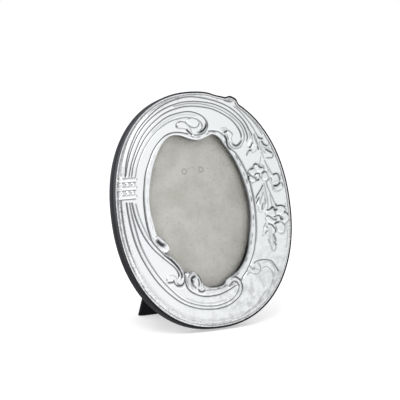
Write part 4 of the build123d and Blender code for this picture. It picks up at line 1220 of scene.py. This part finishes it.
def strut_cover():
    """The strut's velvet skin: round its middle line the cross-section is a rectangle with round corners,
    whose width grows towards the foot. The ends are drawn in, and the foot is level with the ground."""
    turn = full_turn(STRUT_COLUMNS)
    round_u = np.sign(np.cos(turn)) * np.abs(np.cos(turn)) ** WIDTH_POWER
    round_w = np.sign(np.sin(turn)) * np.abs(np.sin(turn)) ** THICKNESS_POWER
    rows = []
    for along, drawn in STRUT_ROWS:
        grown = (STRUT_FOOT_HALF_WIDTH - STRUT_TOP_HALF_WIDTH) * (along / STRUT_LENGTH)
        short = STRUT_CORNER - min(along, STRUT_CORNER)
        corner = STRUT_CORNER - math.sqrt(STRUT_CORNER ** 2 - short ** 2)
        u = WINDOW_MIDDLE[0] + round_u * (STRUT_TOP_HALF_WIDTH + grown - corner)
        flat = np.stack((u, np.full(STRUT_COLUMNS, STRUT_TOP_V - along)), axis=-1)
        rows.append(stand_up(flat, STRUT_MIDDLE_W + round_w * (STRUT_HALF_THICKNESS - drawn)))
    places = swing(np.stack(rows))
    before, last = places[-2], places[-1]
    share = before[:, 2:] / (before[:, 2:] - last[:, 2:])
    places[-1] = before + (last - before) * share
    return places[:, ::-1]


def glass_cover():
    """The pane: its edge goes round the ellipse, drawn in by the bevel at the front and back faces."""
    turn = full_turn(GLASS_COLUMNS)
    rows = ((GLASS_BEVEL, GLASS_FRONT), (0, GLASS_FRONT - GLASS_BEVEL), (0, GLASS_BACK + GLASS_BEVEL),
            (GLASS_BEVEL, GLASS_BACK))
    return np.stack([stand_up(rebate_oval(turn, GLASS_CLEARANCE + inset), level) for inset, level in rows])


def turned(profile, middle, columns=32, swung=False):
    """A profile of (radius, level) turned round an axis that stands on the frame's plane at middle (u,
    v)."""
    turn = full_turn(columns)
    radius, level = np.array(profile).T[..., None]
    flat = np.stack((middle[0] + radius * np.cos(turn), middle[1] + radius * np.sin(turn)), axis=-1)
    places = stand_up(flat, level)
    return swing(places) if swung else places


def dome(radius, base, rise, shank, bottom):
    """Profile of a domed head on a shank: a quarter ellipse from the rim nearly to the middle."""
    head = [(radius * math.cos(a), base + rise * math.sin(a)) for a in np.linspace(0, math.pi / 2 * .97, 7)]
    return [(shank, bottom), (shank, base), (radius, base)] + head


def slotted(radius, base, rise, depth, middle, slot_turn):
    """A domed head cut by a straight slot, drawn as chords side by side: each chord runs over the dome
    and back under it, and the chords inside the slot lie deeper. Heads on the back face away from the
    front, so rise is negative."""
    across = np.array(SLOT_CHORDS)[:, None]
    along = np.concatenate((np.linspace(-1, 1, CHORD_OVER), np.linspace(1, -1, CHORD_UNDER)[1:-1]))
    reach = np.sqrt(1 - across ** 2) * along
    top = np.arange(len(along)) < CHORD_OVER
    ball = np.sqrt(np.clip(1 - across ** 2 - reach ** 2, 0, 1))
    level = base + rise * np.where(top, .35 + .65 * ball, 0)
    level = np.where(top & (np.abs(across) <= SLOT_HALF), base + rise * (1 - depth), level)
    c, n = math.cos(slot_turn), math.sin(slot_turn)
    u = middle[0] + radius * (across * c - reach * n)
    v = middle[1] + radius * (across * n + reach * c)
    return stand_up(np.stack((u, v), axis=-1), level)[::-1]


def joined(name, parts):
    """Joins closed grids of places into one mesh. Each grid's end rows are closed by a face."""
    places, faces, start = [], [], 0
    for grid in parts:
        rows, columns = grid.shape[:2]
        index = start + np.arange(rows * columns).reshape(rows, columns)
        ring = np.hstack((index, index[:, :1]))
        quads = np.stack((ring[:-1, :-1], ring[:-1, 1:], ring[1:, 1:], ring[1:, :-1]), axis=-1).reshape(-1, 4)
        faces += quads.tolist() + [index[0, ::-1].tolist(), index[-1].tolist()]
        places.append(grid.reshape(-1, 3))
        start += rows * columns
    mesh = bpy.data.meshes.new(name)
    mesh.from_pydata(np.vstack(places).tolist(), [], faces)
    mesh.shade_smooth()
    mesh.set_sharp_from_angle(angle=math.radians(40))
    return mesh


def button_places():
    """Middle and direction of each turn button, just outside the opening for the board."""
    places = []
    for degrees in BUTTON_DEGREES:
        a = math.radians(degrees)
        radius = ((math.cos(a) / REBATE[0]) ** 2 + (math.sin(a) / REBATE[1]) ** 2) ** -.5 + BUTTON_GAP
        places.append(((WINDOW_MIDDLE[0] + radius * math.cos(a), WINDOW_MIDDLE[1] + radius * math.sin(a)), a))
    return places


# Operators
class OvalFrameOperator:
    bl_options = {"REGISTER", "UNDO"}

    def execute(self, context):
        self.make()
        return {"FINISHED"}


class OVALFRAME_OT_silver_front(OvalFrameOperator, bpy.types.Operator):
    """Makes the pressed silver sheet with its pattern"""
    bl_idname = "oval_frame.silver_front"
    bl_label = "Silver front"

    def make(self):
        places, film_and_shade, gap = silver_sheet()
        mesh = ring_mesh("pressed_silver_front", places)
        add_attribute(mesh, "film_and_shade", film_and_shade)
        add_attribute(mesh, "edge_gap", gap)
        add_piece("pressed_silver_front", mesh, pressed_silver(), "frame", ["silver_front"])


class OVALFRAME_OT_front_pins(OvalFrameOperator, bpy.types.Operator):
    """Makes the round-headed pins in the sheet's flange"""
    bl_idname = "oval_frame.front_pins"
    bl_label = "Front pins"

    def make(self):
        s = sizes()
        turn = np.radians((np.arange(PIN_COUNT) + .5) * 360 / PIN_COUNT)
        profile = dome(radius=.65, base=.45, rise=.35, shank=.35, bottom=-4.55)
        parts = [turned(profile, place, 24) for place in outline(turn, (s.velvet + s.flange / 2) / MM)]
        mesh = joined("silver_front_pins", parts)
        metal = plain_metal("polished_silver_pins", colours().pins, .22)
        add_piece("silver_front_pins", mesh, metal, "frame", ["front_pins"])


class OVALFRAME_OT_velvet_band(OvalFrameOperator, bpy.types.Operator):
    """Makes the velvet round the side and the back"""
    bl_idname = "oval_frame.velvet_band"
    bl_label = "Velvet band"

    def make(self):
        places, nap_and_light = velvet_cover()
        mesh = ring_mesh("velvet_cover", places)
        add_attribute(mesh, "nap_and_light", nap_and_light)
        cloth = velvet("brushed_cotton_velvet", True)
        add_piece("velvet_cover", mesh, cloth, "frame", ["velvet_band"])


class OVALFRAME_OT_strut_cloth(OvalFrameOperator, bpy.types.Operator):
    """Makes the velvet skin of the strut"""
    bl_idname = "oval_frame.strut_cloth"
    bl_label = "Strut velvet"

    def make(self):
        mesh = joined("strut_velvet", [strut_cover()])
        cloth = velvet("cotton_velvet_on_strut", False)
        add_piece("strut_velvet", mesh, cloth, "strut", ["strut_cloth"])


class OVALFRAME_OT_rivets(OvalFrameOperator, bpy.types.Operator):
    """Makes the rivets of both hinge leaves"""
    bl_idname = "oval_frame.rivets"
    bl_label = "Hinge rivets"

    def make(self):
        nickel = plain_metal("nickel_plated_rivets", colours().nickel, .3)
        pairs = (("board_rivet_pair", BOARD_RIVET, RIVET_V, "frame", ["board_rivets"]),
                 ("strut_rivet_pair", STRUT_RIVET, STRUT_RIVET_V, "strut", ["strut_rivets"]))
        for name, profile, level, body, replaced in pairs:
            parts = []
            for u in (WINDOW_MIDDLE[0] - RIVET_GAP, WINDOW_MIDDLE[0] + RIVET_GAP):
                parts.append(turned(profile, (u, level), 36, swung=body == "strut")[::-1])
            add_piece(name, joined(name, parts), nickel, body, replaced)


class OVALFRAME_OT_screws(OvalFrameOperator, bpy.types.Operator):
    """Makes the slotted screws that the turn buttons turn on"""
    bl_idname = "oval_frame.screws"
    bl_label = "Button screws"

    def make(self):
        parts = []
        for k, (place, direction) in enumerate(button_places()):
            head = {"radius": 2, "base": -11.4, "rise": -.8, "depth": .55}
            parts.append(slotted(middle=place, slot_turn=direction + .7 + k, **head))
            parts.append(turned(SCREW_SHANK, place, 20)[::-1])
        mesh = joined("slotted_screws", parts)
        metal = plain_metal("lacquered_brass_screws", colours().brass, .3)
        add_piece("slotted_screws", mesh, metal, "frame", ["button_screws"])


class OVALFRAME_OT_glass(OvalFrameOperator, bpy.types.Operator):
    """Makes the pane of glass, which lies just clear of the card"""
    bl_idname = "oval_frame.glass"
    bl_label = "Glass"

    def make(self):
        mesh = joined("picture_glass", [glass_cover()])
        add_piece("picture_glass", mesh, picture_glass(), "frame", ["glass_pane"])


class OVALFRAME_OT_finishes(OvalFrameOperator, bpy.types.Operator):
    """Gives the carried-over pieces their finishes"""
    bl_idname = "oval_frame.finishes"
    bl_label = "Finishes"

    def make(self):
        c = colours()
        cloth = velvet("cotton_velvet_on_board", False)
        nickel = plain_metal("nickel_plated_steel", c.nickel, .28)
        brass = plain_metal("lacquered_sheet_brass", c.brass, .3)
        board = greyboard()
        dress("display_card", insert_card())
        dress("wood_core", pine())
        dress("backing_cloth", cloth)
        for node in ("backing_board", "strut_board"):
            dress(node, board)
        for node in ("hinge_board_leaf", "hinge_strut_leaf", "hinge_pin"):
            dress(node, nickel)
        for side in ("upper_right", "upper_left", "lower_left", "lower_right"):
            dress("turn_button_" + side, brass)


# Stage, in metres
STAGE_MIDDLE = (0, .0146, .0885)
FLOOR_HALF = 4
WORLD_LIGHT = .62
# Camera: degrees to the right of the front (left is negative) and above it, distance, lens in mm, and shift
# as a share of the picture
CAMERA_AZIMUTH = -28
CAMERA_ELEVATION = 10
CAMERA_DISTANCE = .990
CAMERA_LENS = 118.3
CAMERA_SHIFT = (-.0148, .0223)


def stage_object(name, data, place=(0, 0, 0)):
    item = bpy.data.objects.new(name, data)
    bpy.context.scene.collection.objects.link(item)
    item.location = place
    return item


def aim_at(item, place, aim):
    item.rotation_euler = (Vector(aim) - Vector(place)).to_track_quat("-Z", "Y").to_euler()


def flat_sheet(name, half_width, half_height):
    corners = [(-half_width, -half_height, 0), (half_width, -half_height, 0), (half_width, half_height, 0),
               (-half_width, half_height, 0)]
    mesh = bpy.data.meshes.new(name)
    mesh.from_pydata(corners, [], [(0, 1, 2, 3)])
    return mesh


def lamp(name, place, size, power):
    data = bpy.data.lights.new(name, "AREA")
    data.shape = "RECTANGLE"
    data.size, data.size_y = size
    data.energy = power
    aim_at(stage_object(name, data, place), place, STAGE_MIDDLE)


def card_stand(name, place, size, code):
    """A matt card beside the object that the silver mirrors. The camera doesn't see it."""
    mesh = flat_sheet(name, size[0] / 2, size[1] / 2)
    card = stage_object(name, mesh, place)
    aim_at(card, place, STAGE_MIDDLE)
    material, shader = new_material(name)
    shader.inputs["Base Color"].default_value = linear(code)
    shader.inputs["Roughness"].default_value = 1.0
    shader.inputs["Specular IOR Level"].default_value = 0.0
    mesh.materials.append(material)
    card.visible_camera = False
    card.visible_shadow = False
    card.visible_diffuse = False


def bright_paper():
    """White paper floor: reads as pure white, and keeps the soft grey shadow under the frame."""
    material, shader = new_material("white_paper_floor")
    tone = ramp(material, noise(material, 60, 2), ((.3, colours().floor), (.7, "#FFFFFF")))
    link(material, tone, shader, "Base Color")
    shader.inputs["Roughness"].default_value = .9
    shader.inputs["Specular IOR Level"].default_value = .2
    shader.inputs["Emission Color"].default_value = linear("#FFFFFF")
    shader.inputs["Emission Strength"].default_value = .46
    return material


class OVALFRAME_OT_stage(OvalFrameOperator, bpy.types.Operator):
    """Makes the floor, the world, the lamps and the camera"""
    bl_idname = "oval_frame.stage"
    bl_label = "Stage"

    def make(self):
        bpy.context.scene.view_settings.view_transform = "Standard"
        self.world()
        mesh = flat_sheet("paper_floor", FLOOR_HALF, FLOOR_HALF)
        mesh.materials.append(bright_paper())
        floor = stage_object("paper_floor", mesh)
        lamp("top_softbox", (-.5, -.5, 1.3), (1.0, .8), 7)
        card_stand("camera_side_card", (-.60, -.72, .26), (.9, .6), "#77777A")
        card_stand("right_hand_card", (.95, .05, .35), (.8, .6), "#9A9A9C")
        card_stand("high_card", (.1, -.1, 1.05), (.7, .35), "#4A4A4C")
        self.camera()

    def world(self):
        """A white room: full white to the camera, to mirrors and through glass, and weaker as a light."""
        world = bpy.data.worlds.new("white_room")
        bpy.context.scene.world = world
        world.use_nodes = True
        back = world.node_tree.nodes["Background"]
        back.inputs["Color"].default_value = linear("#FFFFFF")
        path = add_node(world, "ShaderNodeLightPath")
        seen = math_node(world, "MAXIMUM", path.outputs["Is Camera Ray"], path.outputs["Is Glossy Ray"])
        seen = math_node(world, "MAXIMUM", seen, path.outputs["Is Transmission Ray"])
        link(world, remap(world, seen, (0, 1), (WORLD_LIGHT, 1)), back, "Strength")

    def camera(self):
        azimuth, elevation = math.radians(CAMERA_AZIMUTH), math.radians(CAMERA_ELEVATION)
        middle = Vector(stand_up((0, 0), 0).tolist())
        back = Vector((math.sin(azimuth) * math.cos(elevation), -math.cos(azimuth) * math.cos(elevation),
                       math.sin(elevation)))
        data = bpy.data.cameras.new("photo_camera")
        data.sensor_width = 36
        data.lens = CAMERA_LENS
        data.shift_x, data.shift_y = CAMERA_SHIFT
        camera = stage_object("photo_camera", data, middle + back * CAMERA_DISTANCE)
        camera.rotation_euler = (-back).to_track_quat("-Z", "Y").to_euler()
        bpy.context.scene.camera = camera


class OVALFRAME_PT_panel(bpy.types.Panel):
    """Lists the frame's pieces, sizes and colours"""
    bl_idname = "OVALFRAME_PT_panel"
    bl_label = "Oval Picture Frame"
    bl_space_type = "VIEW_3D"
    bl_region_type = "UI"
    bl_category = "Oval Frame"

    def draw(self, context):
        for group in (context.scene.oval_frame_sizes, context.scene.oval_frame_colours):
            box = self.layout.box()
            for name in group.__annotations__:
                box.prop(group, name)
        column = self.layout.column()
        for operator in OPERATORS:
            column.operator(operator.bl_idname)


OPERATORS = (OVALFRAME_OT_silver_front, OVALFRAME_OT_front_pins, OVALFRAME_OT_velvet_band,
             OVALFRAME_OT_strut_cloth, OVALFRAME_OT_rivets, OVALFRAME_OT_screws, OVALFRAME_OT_glass,
             OVALFRAME_OT_finishes, OVALFRAME_OT_stage)
CLASSES = (OvalFrameSizes, OvalFrameColours) + OPERATORS + (OVALFRAME_PT_panel,)


def register():
    for item in CLASSES:
        bpy.utils.register_class(item)
    bpy.types.Scene.oval_frame_sizes = bpy.props.PointerProperty(type=OvalFrameSizes)
    bpy.types.Scene.oval_frame_colours = bpy.props.PointerProperty(type=OvalFrameColours)


def unregister():
    del bpy.types.Scene.oval_frame_colours
    del bpy.types.Scene.oval_frame_sizes
    for item in reversed(CLASSES):
        bpy.utils.unregister_class(item)


def main():
    register()
    for operator in OPERATORS:
        group, name = operator.bl_idname.split(".")
        getattr(getattr(bpy.ops, group), name)()


if __name__ == "__main__":
    main()
